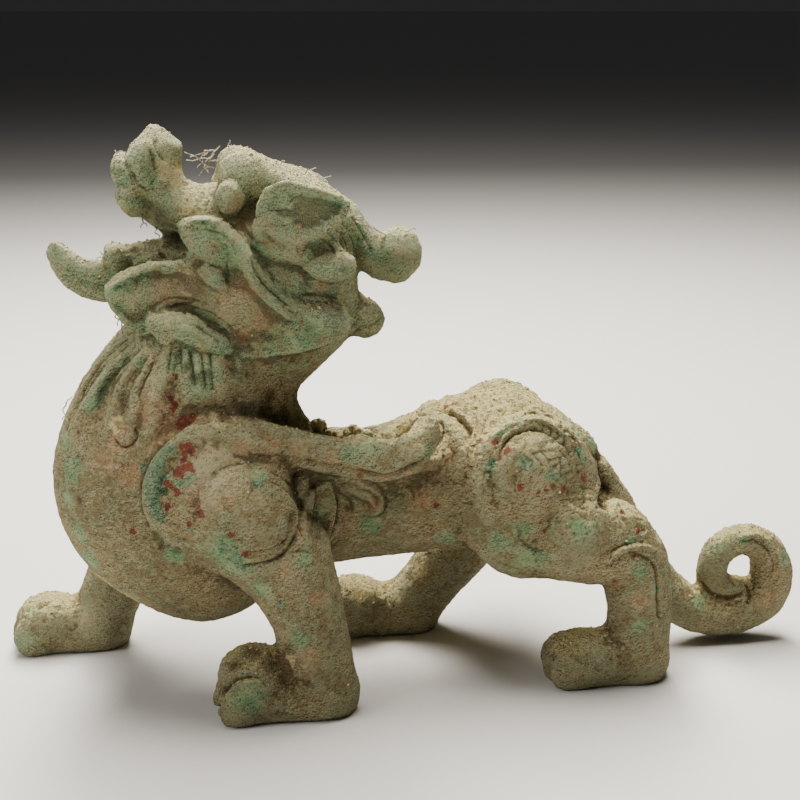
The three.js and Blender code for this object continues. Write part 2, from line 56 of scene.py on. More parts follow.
# %% [markdown]
# ## Where the camera stands
# The picture was taken from in front of the beast's left side, a little above its back. With the
# camera in that place, each point of the picture is a ray into the scene. Carving and patches of
# colour can then be placed by where they are seen: `ray` gives the ray through a point of the
# 800 by 800 picture, and `seen` gives the place on it that lies `out` millimetres to the right of
# the beast's middle plane. The side that shows is its left, so `out` has a minus sign there.

# %% The camera
MIDDLE = Vector((5.950, -0.028, 0)) / 1000  # the source's own origin lies this far off the solid's
EYE = Vector((-75.1, -435.0, 222.0)) / 1000 - MIDDLE
AIM = Vector((0, -9, 98)) / 1000 - MIDDLE
PICTURE = 800
LENS = 61.2

camera = bpy.data.objects.new("camera", bpy.data.cameras.new("camera"))
camera.data.lens = LENS
camera.location = EYE
camera.rotation_euler = (AIM - EYE).to_track_quat("-Z", "Y").to_euler()
bpy.context.scene.collection.objects.link(camera)
bpy.context.scene.camera = camera
focal = LENS / camera.data.sensor_width * PICTURE
camera_turn = camera.rotation_euler.to_matrix()


def ray(across, down):
    aside, up = across - PICTURE / 2, PICTURE / 2 - down
    return (camera_turn @ Vector((aside, up, -focal))).normalized()


def seen(across, down, out):
    way = ray(across, down)
    return EYE + way * ((out / 1000 - MIDDLE.y - EYE.y) / way.y)


pixel_width = 1000 * (AIM - EYE).length / focal
print("focal length", round(focal), "pixels; a pixel is", round(pixel_width, 2), "mm at the beast")

# %% [markdown]
# ## Floor and light
# A photographer lights a small bronze with large soft lamps overhead and a little behind it, so
# that the upper faces shine and the undersides fall dark, and lets a pale floor throw some light
# back. A weaker lamp on the left models the breast.

# %% Floor
FLOOR_REACH = 300  # metres each way, so that its edge lies on the horizon
FLOOR_COLOUR, FLOOR_ROUGHNESS = (0.80, 0.77, 0.74, 1), 0.7


def piece_of(name, shape):
    piece = bpy.data.objects.new(name, bpy.data.meshes.new(name))
    shape.to_mesh(piece.data)
    shape.free()
    bpy.context.scene.collection.objects.link(piece)
    return piece


def material(name):
    made = bpy.data.materials.new(name)
    made.use_nodes = True
    return made, made.node_tree.nodes["Principled BSDF"]


board = bmesh.new()
bmesh.ops.create_grid(board, x_segments=1, y_segments=1, size=FLOOR_REACH)
floor = piece_of("floor", board)
pale, pale_shader = material("pale_floor")
pale_shader.inputs["Base Color"].default_value = FLOOR_COLOUR
pale_shader.inputs["Roughness"].default_value = FLOOR_ROUGHNESS
floor.data.materials.append(pale)
print("a floor of", 2 * FLOOR_REACH, "m")

# %% Lamps
WARM, NEUTRAL, COOL = (1.0, 0.96, 0.88), (0.98, 0.98, 0.96), (0.75, 0.74, 0.76, 1)
LAMPS = {  # place in metres, width in metres, power in watts, tint
    "overhead": ((0.0, 0.15, 0.95), 0.60, 18.0, WARM),
    "behind": ((0.0, 0.60, 0.80), 0.40, 16.5, WARM),
    "left": ((-0.95, -0.30, 0.70), 0.50, 5.8, NEUTRAL),
}
WORLD_LIGHT = 0.03


def lamp(name, place, size, power, tint):
    light = bpy.data.objects.new(name, bpy.data.lights.new(name, "AREA"))
    light.data.size = size
    light.data.energy = power
    light.data.color = tint
    light.location = place
    light.rotation_euler = (AIM - Vector(place)).to_track_quat("-Z", "Y").to_euler()
    bpy.context.scene.collection.objects.link(light)


for name, (place, size, power, tint) in LAMPS.items():
    lamp(name, place, size, power, tint)
world = bpy.data.worlds.new("studio")
world.use_nodes = True
backdrop = world.node_tree.nodes["Background"]
backdrop.inputs["Color"].default_value = COOL
backdrop.inputs["Strength"].default_value = WORLD_LIGHT
bpy.context.scene.world = world
print(len(LAMPS), "lamps and a dim world")

# %% [markdown]
# ## The wax, first stage: the broad forms
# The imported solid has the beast's true outline, pose and masses, but it is faceted. It could be
# smoothed with a subdivision surface, but its triangles are uneven and would leave creases. A voxel
# remesh gives an even net of small faces instead, which takes smoothing well, as wax does from a
# warm thumb. The body may be smoothed a lot, but the head, the tail and the paws only a little, so
# the smoothing is weighted by a vertex group. Heights and lengths are in metres.
#
# A modifier's result is taken into the mesh before the next step needs it: `settle` does that.
# `stored` lists what the mesh stores of each vertex, such as its place. `rising` and `falling` turn
# a height or any other measure into a share between 0 and 1.


# %% Smooth broad forms
def settle(piece):
    graph = bpy.context.evaluated_depsgraph_get()
    made = bpy.data.meshes.new_from_object(piece.evaluated_get(graph))
    piece.modifiers.clear()
    piece.data = made
    return piece


def modify(piece, kind, **settings):
    modifier = piece.modifiers.new(kind.lower(), kind)
    for name, value in settings.items():
        setattr(modifier, name, value)
    return settle(piece)


def stored(piece, kind):
    listed = np.empty(3 * len(piece.data.vertices), np.float32)
    piece.data.vertices.foreach_get(kind, listed)
    return listed.reshape(-1, 3).astype(float)


def rising(values, start, width):
    return np.clip((values - start) / width, 0, 1)


def falling(values, start, width):
    return np.clip((start - values) / width, 0, 1)


BROAD_NET = 0.0011
NECK_HEIGHT, NAPE, TAIL_ROOT, PAW_TOP = 0.112, 0.012, 0.085, 0.024
KEPT_CRISP = 0.85
BROAD_STEPS = 10

wax = bmesh.new()
wax.from_mesh(solid.data)
bmesh.ops.remove_doubles(wax, verts=wax.verts, dist=1e-6)
casting = piece_of("casting", wax)
modify(casting, "REMESH", mode="VOXEL", voxel_size=BROAD_NET)
place = stored(casting, "co") + np.array(MIDDLE)
head_share = rising(place[:, 2], NECK_HEIGHT, 0.02) * (place[:, 0] < NAPE)
tail_share = rising(place[:, 0], TAIL_ROOT, 0.02)
foot_share = falling(place[:, 2], PAW_TOP, 0.01)
broad = 1 - KEPT_CRISP * np.maximum.reduce([head_share, tail_share, foot_share])
group = casting.vertex_groups.new(name="broad")
for step in range(BROAD_STEPS + 1):
    near = np.flatnonzero(np.round(broad * BROAD_STEPS) == step)
    group.add(near.tolist(), step / BROAD_STEPS, "REPLACE")
modify(casting, "SMOOTH", factor=0.5, iterations=14, vertex_group="broad")
print("broad forms:", len(casting.data.vertices), "vertices")

# %% [markdown]
# ## The wax, second stage: rims, tusk and lumps
# The modeller rolled thin strings of wax and pressed them on as rims, and pinched small lumps on
# as nose and eyes. Two helpers do the same with bmesh operators. `lump` is a sphere, scaled and
# turned. `string` extrudes a disc from knot to knot along a smooth path, so it is a closed tube
# whose thickness may change. `mirrored` repeats what was made on the left side on the right.
#
# `on_skin` answers where a ray from the camera meets the wax, so that a rim can be laid on the wax
# where the picture shows it, or sunk a little into it. Where the ray misses, or meets the wax more
# than `furthest` millimetres to the right of the middle plane, the answer is the place that lies
# `out` millimetres to the left of it.


# %% Lumps and strings
def skin_of(piece):
    graph = bpy.context.evaluated_depsgraph_get()
    return BVHTree.FromObject(piece, graph)


def on_skin(skin, across, down, out=20, sunk=0.0, furthest=12):
    place, normal, _, _ = skin.ray_cast(EYE, ray(across, down))
    if place is None or 1000 * (place + MIDDLE).y > furthest:
        return seen(across, down, -out)
    return place - normal * sunk / 1000


def through(points, steps=5):
    knots = np.array(points, float)
    ends = np.vstack([2 * knots[0] - knots[1], knots, 2 * knots[-1] - knots[-2]])
    t = np.linspace(0, 1, steps, endpoint=False)[:, None]
    spans = []
    for a, b, c, d in zip(ends, ends[1:], ends[2:], ends[3:]):
        bend, twist = 2 * a - 5 * b + 4 * c - d, 3 * b - a - 3 * c + d
        spans.append(0.5 * (2 * b + (c - a) * t + bend * t**2 + twist * t**3))
    return np.vstack([*spans, knots[-1:]])


THINNEST = 2e-4  # metres: no string is thinner in radius, or it would vanish in the picture


def lump(wax, centre, radii, turn=(0, 0, 0), detail=3):
    angles = [math.radians(a) for a in turn]
    turned = Matrix.Rotation(angles[2], 4, "Z") @ Matrix.Rotation(angles[1], 4, "Y")
    turned = turned @ Matrix.Rotation(angles[0], 4, "X")
    scaled = Matrix.Diagonal((*[r / 1000 for r in radii], 1))
    matrix = Matrix.Translation(centre) @ turned @ scaled
    return bmesh.ops.create_icosphere(wax, subdivisions=detail, radius=1, matrix=matrix)["verts"]


def string(wax, centres, radii, sides=10):
    path = through([(*c, r / 1000) for c, r in zip(centres, radii)])
    ways = np.gradient(path[:, :3], axis=0)
    frames = []
    for knot, way in zip(path, ways):
        turned = Vector(way).to_track_quat("Z", "X").to_matrix().to_4x4()
        thick = Matrix.Scale(max(knot[3], THINNEST), 4)
        frames.append(Matrix.Translation(knot[:3]) @ turned @ thick)
    disc = bmesh.ops.create_circle(wax, cap_ends=True, segments=sides, radius=1, matrix=frames[0])
    verts = list(disc["verts"])
    face = verts[0].link_faces[0]
    for before, after in zip(frames, frames[1:]):
        grown = bmesh.ops.extrude_face_region(wax, geom=[face])["geom"]
        moved = [g for g in grown if isinstance(g, bmesh.types.BMVert)]
        face = next(g for g in grown if isinstance(g, bmesh.types.BMFace))
        bmesh.ops.transform(wax, matrix=after @ before.inverted(), verts=moved)
        verts += moved
    return verts


def mirrored(wax, verts):
    faces = list({f for v in verts for f in v.link_faces})
    edges = list({e for f in faces for e in f.edges})
    copied = bmesh.ops.duplicate(wax, geom=faces + edges + list(verts))
    twins = [g for g in copied["geom"] if isinstance(g, bmesh.types.BMVert)]
    flip = Matrix.Translation((0, -2 * MIDDLE.y, 0)) @ Matrix.Scale(-1, 4, (0, 1, 0))
    bmesh.ops.transform(wax, matrix=flip, verts=twins)


broad_skin = skin_of(casting)
forms = bmesh.new()
print("the skin under the strings has", len(casting.data.polygons), "faces")

# %% Rims of the ears
EAR_RIM = [
    (266, 237, 25), (260, 226, 25), (259, 211, 25.5), (262.5, 199, 26), (270, 189.5, 26.5),
    (280, 184.5, 27), (290, 183.7, 27.5), (303, 187, 28), (318, 191, 28), (332, 195, 28),
    (342, 199.5, 27.5), (348, 206, 27), (342, 216, 27),
]
EAR_RIM_RADII = [0.3] + [0.85] * (len(EAR_RIM) - 2) + [0.3]
mirrored(forms, string(forms, [seen(a, d, -out) for a, d, out in EAR_RIM], EAR_RIM_RADII))
print("ear rims laid,", len(forms.verts), "vertices")

# %% [markdown]
# The lips are three leaves of wax: the upper lip with a long ridge that runs back over the cheek,
# the lower lip, and a second leaf that points backwards under the ear. Each has a raised rim. The
# lists are read off the picture, across and down. `rim` makes a string that is thin at both ends.

# %% Rims of the lips
LIP_RIDGE = [
    (178, 226), (190, 221), (203, 219), (217, 221), (229, 226), (238, 234), (244, 243), (248, 255),
    (252, 267), (256, 281), (265, 294), (276, 304), (288, 314), (300, 320),
]
LOWER_LIP = [
    (164, 263), (151, 265.5), (137, 271), (122.5, 278.5), (113, 286), (107.5, 294), (113, 304.5),
    (120, 315), (128, 324), (137, 329.5), (147, 332.5), (154, 328),
]
BACK_LEAF = [
    (306, 298), (328, 300), (342, 307), (348, 318), (348, 328), (341, 336), (322, 343.5),
    (300, 350), (279, 352.5), (260, 354.5), (243, 354),
]


def laid(path, out, sunk):
    return [on_skin(broad_skin, a, d, out, sunk) for a, d in path]


def rim(path, radius, out, sunk, both=True):
    radii = [radius * min(1, 0.5 + i, len(path) - i - 0.5) for i in range(len(path))]
    verts = string(forms, laid(path, out, sunk), radii)
    if both:
        mirrored(forms, verts)


rim(LIP_RIDGE, radius=1.35, out=17, sunk=0.2)
rim(LOWER_LIP, radius=1.2, out=9, sunk=0.2)
rim(BACK_LEAF, radius=1.1, out=24, sunk=0.2)
print("rims of the lips laid")

# %% [markdown]
# A fang hangs behind the corner of the upper lip, a thick curl lies below the ear, and the beard's
# locks hang from the lower lip. A lock swings out first and then falls: the share of the way across
# grows evenly, and the share of the way down grows as its power.

# %% Curl, fangs and beard
CURL, CURL_TIP = [(304, 266), (316, 269), (330, 269), (343, 268)], (353, 265, -22)
CURL_RADII = [2.6, 4.2, 4.8, 4.4, 2.8]
FANG = [(203, 266), (212, 275), (220, 283), (226, 290)]
FANG_RADII = [2.6, 3.2, 2.6, 1.2]
BEARD = [((166, 315), (229, 352)), ((168, 323), (224, 354)), ((170, 331), (214, 351))]
BEARD_SHARES, BEARD_SWING = (0, 0.3, 0.6, 0.85, 1), 1.6
BEARD_RADII = [1.6, 2.4, 2.6, 2.2, 1.2]

mirrored(forms, string(forms, [*laid(CURL, 22, 2.0), seen(*CURL_TIP)], CURL_RADII))
mirrored(forms, string(forms, laid(FANG, 18, 0.2), FANG_RADII))
for (across, down), (end_across, end_down) in BEARD:
    lock = [
        (across + t * (end_across - across), down + t**BEARD_SWING * (end_down - down))
        for t in BEARD_SHARES
    ]
    mirrored(forms, string(forms, laid(lock, 17, 0.6), BEARD_RADII))
print("curl, fang and", len(BEARD), "locks laid")

# %% [markdown]
# The snout is a stack of pinched lumps: a tip, a plate on each side of it, a lump before the plate
# and a nostril below. Each line gives where the lump is seen, how far out it lies, its three radii
# and how far it leans. A knob stands on the collar that the tusk rises from. The eyes are small and
# round, and the tongue lies on the lower lip.

# %% Snout, eyes, tusk and tongue
SNOUT = {
    "tip": ((155, 139), 0, (4.2, 5.2, 4.2), 0),
    "plate": ((141, 164), 8, (4.4, 3.6, 7.6), 18),
    "lump before the plate": ((121, 171), 5, (3.4, 4.6, 4.8), 0),
    "nostril": ((128, 197), 7, (4.0, 4.4, 4.4), -20),
    "knob on the tusk's collar": ((113, 257), 4, (3.2, 3.6, 3.4), 0),
}
EYE_SPOT, EYE_RADII = (228, 199), (3.5, 2.8, 4.9)
TUSK = [
    (110, 289, 4.4), (98, 288, 4.3), (84, 284, 4.2), (71, 275, 3.9), (60, 263, 3.2), (52, 249, 2.2),
]
TONGUE, TONGUE_RADII = [(160, 255), (147, 259), (134, 265)], [1.6, 2.0, 1.2]

for (across, down), out, radii, lean in SNOUT.values():
    verts = lump(forms, seen(across, down, -out), radii, (0, lean, 0))
    if out > 0:
        mirrored(forms, verts)
mirrored(forms, lump(forms, on_skin(broad_skin, *EYE_SPOT, 17, 1.6), EYE_RADII))
string(forms, [seen(a, d, 0) for a, d, _ in TUSK], [radius for _, _, radius in TUSK])
mirrored(forms, string(forms, laid(TONGUE, 7, 0.3), TONGUE_RADII))
print(len(SNOUT), "lumps of the snout, eyes, tusk and tongue laid")

# %% [markdown]
# A ridge caps the near hock, a plug of wax fills the wedge between the shoulder's boss and the
# leaf behind it, and a thicker string rounds the curl behind that leaf.

# %% Hock, plug and curl
HOCK_CAP = [(607, 560), (616, 553), (626, 548), (637, 546), (649, 546), (659, 552), (664, 562)]
PLUG, PLUG_RADII = (300, 494, -25.5), (4.0, 5.5, 8.0)
SHOULDER_CURL = [(344, 487), (356, 489), (367, 495), (374, 504)]
rim(HOCK_CAP, radius=1.2, out=27, sunk=0.5, both=False)
lump(forms, seen(*PLUG), PLUG_RADII)
rim(SHOULDER_CURL, radius=1.9, out=22, sunk=0.5)
print("all the wax forms have", len(forms.verts), "vertices")

# %% [markdown]
# ## One casting
# Bronze poured into the mould turns all those strings and lumps into one skin. A voxel remesh does
# it here: everything that overlaps becomes one closed surface. Its net is 0.5 mm wide, which is
# finer than the carving, and a light smoothing takes the saw-tooth of the voxels away.

# %% Fuse
FINE_NET = 0.0005
forms.from_mesh(casting.data)
bmesh.ops.recalc_face_normals(forms, faces=forms.faces)
fused = bpy.data.meshes.new("fused")
forms.to_mesh(fused)
forms.free()
casting.data = fused
modify(casting, "REMESH", mode="VOXEL", voxel_size=FINE_NET)
modify(casting, "SMOOTH", factor=0.5, iterations=3)
print("fused:", len(casting.data.polygons), "faces")

# %% [markdown]
# ## Carving
# Grooves, ridges and steps are drawn on the finished wax. A stroke is a path over the picture. Its
# rays give a line on the skin, and every vertex near the line is moved along its normal, most on
# the line and not at all at its edge. A negative height cuts, a positive one raises. An `edge` is
# raised on one side only, to the right as one walks along the path, so it makes the crisp step of
# a shape that lies on top of another. The same line is mirrored to the right side of the beast,
# which the picture doesn't show.
#
# All strokes are measured on the same still skin and their moves are added up at the end, so their
# order doesn't matter. The far wing sits lower than the near one, so strokes on it are dropped by
# that much.

# %% Strokes
FAR_WING_DROP = 14
STROKE_TAPER, EDGE_TAPER = 0.15, 0.12  # share of its path over which each rises to full height
GUTTER_PLACE, GUTTER_WIDTH, GUTTER_DEPTH = 1.1, 0.6, 0.4  # the cut along the foot of an edge

rest = stored(casting, "co")
normals = stored(casting, "normal")
fine_skin = skin_of(casting)
moves = np.zeros(len(rest))


def twin_of(skin, point, drop=0.0):
    twin = Vector((point.x, -point.y - 2 * MIDDLE.y, point.z - drop / 1000))
    return skin.find_nearest(twin)[0]


def on_both_sides(path, drop=0.0):
    smooth = through(path, 6)
    left = outer = [on_skin(fine_skin, a, d) for a, d in smooth]
    if drop:
        outer = [on_skin(fine_skin, a, d, out=24, furthest=-16) for a, d in smooth]
    right = [twin_of(fine_skin, point, drop) for point in outer]
    return [(np.array(left), 1), (np.array(right), -1)]


def nearness(line, reach):
    low, high = line.min(0) - reach, line.max(0) + reach
    close = np.flatnonzero(((rest > low) & (rest < high)).all(1))
    best = np.full(len(close), np.inf)
    side, share = np.ones(len(close)), np.zeros(len(close))
    for part, (a, b) in enumerate(zip(line, line[1:])):
        along = b - a
        t = np.clip(((rest[close] - a) @ along) / max(along @ along, 1e-12), 0, 1)
        off = rest[close] - a - t[:, None] * along
        away = np.linalg.norm(off, axis=1)
        nearer = away < best
        best[nearer] = away[nearer]
        across = np.cross(along, normals[close[nearer]])
        side[nearer] = np.sign((across * off[nearer]).sum(1))
        share[nearer] = (part + t[nearer]) / (len(line) - 1)
    inside = best < reach
    return close[inside], best[inside], side[inside], share[inside]


def tapered(along, taper):
    return np.clip(np.minimum(along, 1 - along) / taper, 0, 1)


def stroke(path, width, height, drop=0.0):
    reach = width / 2000
    for line, _ in on_both_sides(path, drop):
        index, away, _, along = nearness(line, reach)
        tip = tapered(along, STROKE_TAPER)
        moves[index] += height / 1000 * tip * (1 - (away / reach) ** 2) ** 2


def edge(path, reach, height, drop=0.0):
    for line, hand in on_both_sides(path, drop):
        index, away, side, along = nearness(line, reach / 1000)
        out = 1000 * away * side * hand
        step = np.clip(out + 0.5, 0, 1)
        fade = np.clip(1 - out / reach, 0, 1)
        gutter = GUTTER_DEPTH * np.exp(-(((out + GUTTER_PLACE) / GUTTER_WIDTH) ** 2))
        profile = step**2 * (3 - 2 * step) * fade**1.5 - gutter
        moves[index] += height / 1000 * tapered(along, EDGE_TAPER) * profile


def swell(across, down, radius, height):
    for line, _ in on_both_sides([(across, down), (across + 0.5, down)]):
        index, away, _, _ = nearness(line, radius / 1000)
        moves[index] += height / 1000 * (1 - (away / radius * 1000) ** 2) ** 2


def every(groups):
    return [item for group in groups.values() for item in group]


print("the skin to carve has", len(rest), "vertices")

# %% [markdown]
# Swellings and hollows come first. Each line holds where its middle is seen, its radius and its
# height in millimetres.

# %% Swellings
SWELLS = {
    "the ear's pits, and the notch behind the snout's tip": [
        (296, 222, 1.2, -0.5), (326, 218, 1.4, -0.4), (300, 211, 9, 0.5), (172, 133, 5, -1.6),
    ],
    "nostril, cheek and jaw": [
        (131.5, 178, 2.6, -1.0), (181, 241, 6, -1.4), (206, 255, 4, 0.8), (317, 288, 5, 0.8),
        (153, 311, 3.5, -0.6), (200, 308, 5, 0.9), (225, 316, 4, 0.8), (268, 270, 9, 1.4),
        (283, 283, 9, 1.4), (262, 258, 6, 0.8), (226, 343, 4.5, 1.0), (190, 320, 6, 0.7),
        (330, 322, 8, 1.0),
    ],
    "the shoulder's boss and the elbow": [
        (262, 520, 14, 1.6), (318, 508, 8, 1.2), (360, 495, 7, 0.8), (300, 575, 9, 0.8),
        (215, 475, 12, 0.5),
    ],
    "the pit inside the curl behind the shoulder": [(349, 508, 2.6, -0.5)],
    "the thigh, and beside the root of the tail": [(545, 507, 14, 1.0), (633, 512, 9, 1.2)],
}
for across, down, radius, height in every(SWELLS):
    swell(across, down, radius, height)
print("swellings and hollows pressed,", int((moves != 0).sum()), "vertices moved so far")

# %% [markdown]
# The neck's locks run down from the beard as round strings with narrow grooves between them. The
# shoulder is a disc with a raised rim, a round boss on it, and grooves that follow the boss. The
# curls behind it and the haunch's arcs are single cuts with a soft ridge beside them. Each stroke
# is a path over the picture, its width and its height in millimetres.

# %% Grooves
GROOVES = {
    "the locks of the neck": [
        ([(136, 338), (120, 352), (106, 366), (95, 380), (86, 396), (80, 410)], 1.6, -0.5),
        ([(145, 345), (132, 358), (120, 370), (110, 384), (104, 396), (101, 408)], 1.6, -0.4),
        ([(150, 352), (142, 366), (134, 380), (129, 394), (126, 404)], 1.6, -0.4),
        ([(128, 338), (113, 352), (99, 367), (88, 384), (81, 398)], 1.8, -0.8),
        ([(154, 360), (148, 374), (141, 388), (138, 398)], 1.8, -0.8),
        ([(172, 346), (170, 358), (168, 374)], 1.5, -0.5),
        ([(181, 346), (181, 360), (182, 378)], 1.5, -0.55),
        ([(190, 348), (192, 365), (195, 386)], 1.6, -0.65),
        ([(201, 352), (203, 368), (206, 390)], 1.5, -0.55),
        ([(210, 354), (211.5, 370), (213, 393)], 1.6, -0.55),
    ],
    "the beard": [
        ([(165, 310), (180, 305), (197, 307), (214, 314), (228, 324), (236, 338)], 1.4, -0.5),
        ([(172, 317), (190, 315), (207, 321), (221, 330), (229, 340)], 1.4, -0.4),
        ([(168, 325), (185, 324), (202, 330), (215, 339), (222, 348)], 1.6, -0.6),
        ([(166, 333), (182, 333), (198, 339), (210, 347)], 1.6, -0.5),
    ],
    "the jaw, the nose and the brow": [
        ([(150, 309), (160, 302), (170, 298), (182, 298), (196, 300), (210, 304)], 1.8, -0.5),
        ([(154, 134), (156, 147), (161, 156), (166, 163)], 2.4, -0.6),
        ([(146, 144), (153, 160), (155, 176), (151, 187)], 1.8, -0.5),
        ([(124, 162), (131, 172), (138, 184), (148, 190)], 2.0, -0.7),
        ([(217, 186), (224, 179), (234, 178), (240, 184), (246, 197)], 2.0, -0.5),
        ([(262, 245), (252, 238), (244, 228), (240, 216)], 2.4, -0.5),
    ],
    "the lip leaf's own grooves, beside its rim": [
        ([(203, 229), (216, 232), (226, 238), (233, 247), (238, 259)], 1.2, -0.4),
        ([(226, 262), (228, 274), (226, 284)], 1.4, -0.7),
    ],
    "inside the ear, and the locks between the ear and the lip": [
        ([(267, 211.5), (279, 210), (291, 209.5)], 1.3, -0.45),
        ([(289, 203), (293, 199), (297, 196)], 1.2, -0.35),
        ([(325, 208), (321, 216), (313, 223)], 1.2, -0.3),
        ([(268, 222), (279, 226), (291, 224)], 1.2, -0.4),
        ([(250, 256), (257, 274), (268, 289), (281, 300), (294, 309)], 1.6, -0.8),
        ([(302, 280), (312, 288), (326, 294), (340, 300)], 1.6, -0.4),
        ([(318, 268), (326, 261), (337, 259), (346, 263)], 1.4, -0.5),
        ([(318, 238), (327, 243), (334, 251), (337, 258)], 1.2, -0.35),
        ([(325, 232), (334, 238), (340, 247), (342, 256)], 1.2, -0.45),
        ([(332, 226), (341, 234), (346, 245), (348, 255)], 1.2, -0.45),
        ([(340, 221), (348, 230), (353, 242), (355, 254)], 1.3, -0.5),
        ([(350, 216), (358, 226), (366, 240), (374, 257)], 1.3, -0.6),
        ([(353, 334), (364, 327), (378, 322), (383, 315)], 2.0, -0.8),
    ],
    "the shoulder": [
        ([(288, 536), (276, 545), (263, 550), (250, 552), (240, 550)], 1.4, -0.5),
        ([(284, 544), (272, 552), (259, 556), (246, 557)], 1.3, -0.5),
        ([(290, 549), (279, 557), (266, 562), (253, 565), (240, 566)], 1.6, -0.8),
        ([(288, 554), (299.5, 551), (312, 553)], 1.4, -0.5),
        ([(232, 462), (244, 466), (250, 476), (251, 490), (247, 500)], 1.5, -0.5),
        ([(113, 436), (121, 446), (131, 445), (137, 436), (134, 427)], 1.6, -0.8),
    ],
    "the recess under the wing and the curls behind the shoulder": [
        ([(268, 470), (281, 477), (292, 487), (298, 500)], 2.4, -0.5),
        ([(302, 492), (312, 481), (326, 477), (345, 478)], 2.0, -0.4),
        ([(303, 538), (299, 522), (298, 508), (301, 494)], 2.0, -0.7),
        ([(334, 487), (337, 505), (336, 524), (330, 541)], 1.8, -0.9),
        ([(337, 492), (346, 497), (352, 504), (352, 514)], 2.2, -0.8),
    ],
    "the haunch": [
        ([(505, 428), (516, 418), (530, 414), (544, 415), (560, 423), (573, 437),
          (584, 452)], 1.5, -0.8),
        ([(512, 413), (524, 409), (540, 410), (554, 416)], 1.3, -0.5),
        ([(497, 460), (503, 446), (513, 436), (527, 430.5), (542, 431.5), (556, 440)], 1.8, -1.0),
        ([(556, 446), (566, 458), (570, 470), (562, 476)], 1.3, -0.4),
        ([(601, 446), (604, 464), (606, 482), (606, 498), (603, 510)], 8.0, -3.4),
        ([(519, 523), (520, 538), (531, 549), (546, 553)], 3.0, -0.4),
    ],
    "the hock and the shank": [
        ([(626, 551), (637, 554), (648, 559), (655, 569), (657.5, 588), (658, 612),
          (661, 622)], 2.0, -0.9),
        ([(624, 553), (616.5, 562), (605, 568)], 1.6, -0.7),
    ],
    "the paws": [
        ([(219, 727), (217, 711), (222, 695), (231, 684), (242, 679), (256, 678),
          (268, 685)], 3.0, -1.6),
        ([(18, 652), (20, 640), (28, 631), (40, 629)], 2.6, -1.2),
    ],
    "the tail's ring and its seam": [
        ([(697, 577), (708, 591), (722, 597), (738, 596), (745, 590)], 3.0, -1.2),
        ([(741.5, 577), (747, 586), (749.5, 597), (745, 608)], 2.6, -1.2),
        ([(737, 543), (754, 541), (767, 550), (773, 563), (771, 578)], 2.2, -0.7),
    ],
}
for path, width, height in every(GROOVES):
    stroke(path, width, height)
print(len(every(GROOVES)), "grooves a side")

# %% Ridges
RIDGES = {
    "the mane's round locks": [
        ([(140, 342), (126, 355), (113, 368), (102, 382), (95, 396), (91, 408)], 3.6, 1.1),
        ([(148, 348), (137, 362), (127, 375), (119, 389), (114, 404)], 3.8, 1.2),
        ([(132, 338), (117, 352), (102, 367), (92, 381), (85, 395)], 2.4, 0.6),
        ([(153, 356), (145, 370), (138, 384), (133, 396)], 2.6, 0.7),
        ([(186, 350), (187, 366), (188, 380)], 2.6, 0.5),
        ([(197, 354), (199, 370), (201, 388)], 2.8, 0.5),
        ([(206, 356), (208, 372), (209, 388)], 2.2, 0.4),
    ],
    "the button on the breast": [([(117, 432), (125, 438), (131, 432)], 4.0, 0.7)],
    "the arc behind the wing, and the haunch's arcs": [
        ([(427, 408), (437, 406), (447, 407), (457, 412), (467, 420), (474, 431)], 3.0, 0.8),
        ([(498, 437), (508, 427), (521, 421), (536, 420), (550, 425), (563, 436),
          (574, 452)], 2.2, 0.8),
    ],
    "the ring of the tail": [
        ([(733, 540), (755, 535), (772, 545), (781, 562), (780, 580), (768, 596)], 2.4, 0.5),
    ],
}
for path, width, height in every(RIDGES):
    stroke(path, width, height)
print(len(every(RIDGES)), "ridges a side")

# %% [markdown]
# The wing's tip is a flat blade that turns up, with a crisp upper edge and a deep hollow behind it.
# A shelf runs along under the whole wing.

# %% Hollow and shelf of the wings
WING_GROOVES = {
    "hollow behind the tip": [
        ([(352, 424), (366, 430), (380, 435), (394, 434.5), (404, 427), (412, 417)], 6.5, -3.4),
        ([(440, 420), (443, 432), (438, 446)], 2.0, -1.0),
        ([(425, 412), (434, 410), (443, 411), (451, 414), (458, 418.5), (465, 425), (470, 432),
          (469, 441)], 2.4, -1.6),
    ],
    "shelf under the wing": [
        ([(290, 462), (312, 466), (334, 471), (358, 476), (382, 478), (407, 472), (430, 464),
          (450, 452)], 5.5, 1.2),
    ],
}
for path, width, height in every(WING_GROOVES):
    stroke(path, width, height, drop=FAR_WING_DROP)
print(len(every(WING_GROOVES)), "grooves and ridges a wing")

# %% [markdown]
# Edges give the discs, leaves, lips and wings their crisp steps. Each is a path, the reach of its
# soft side and its height in millimetres.

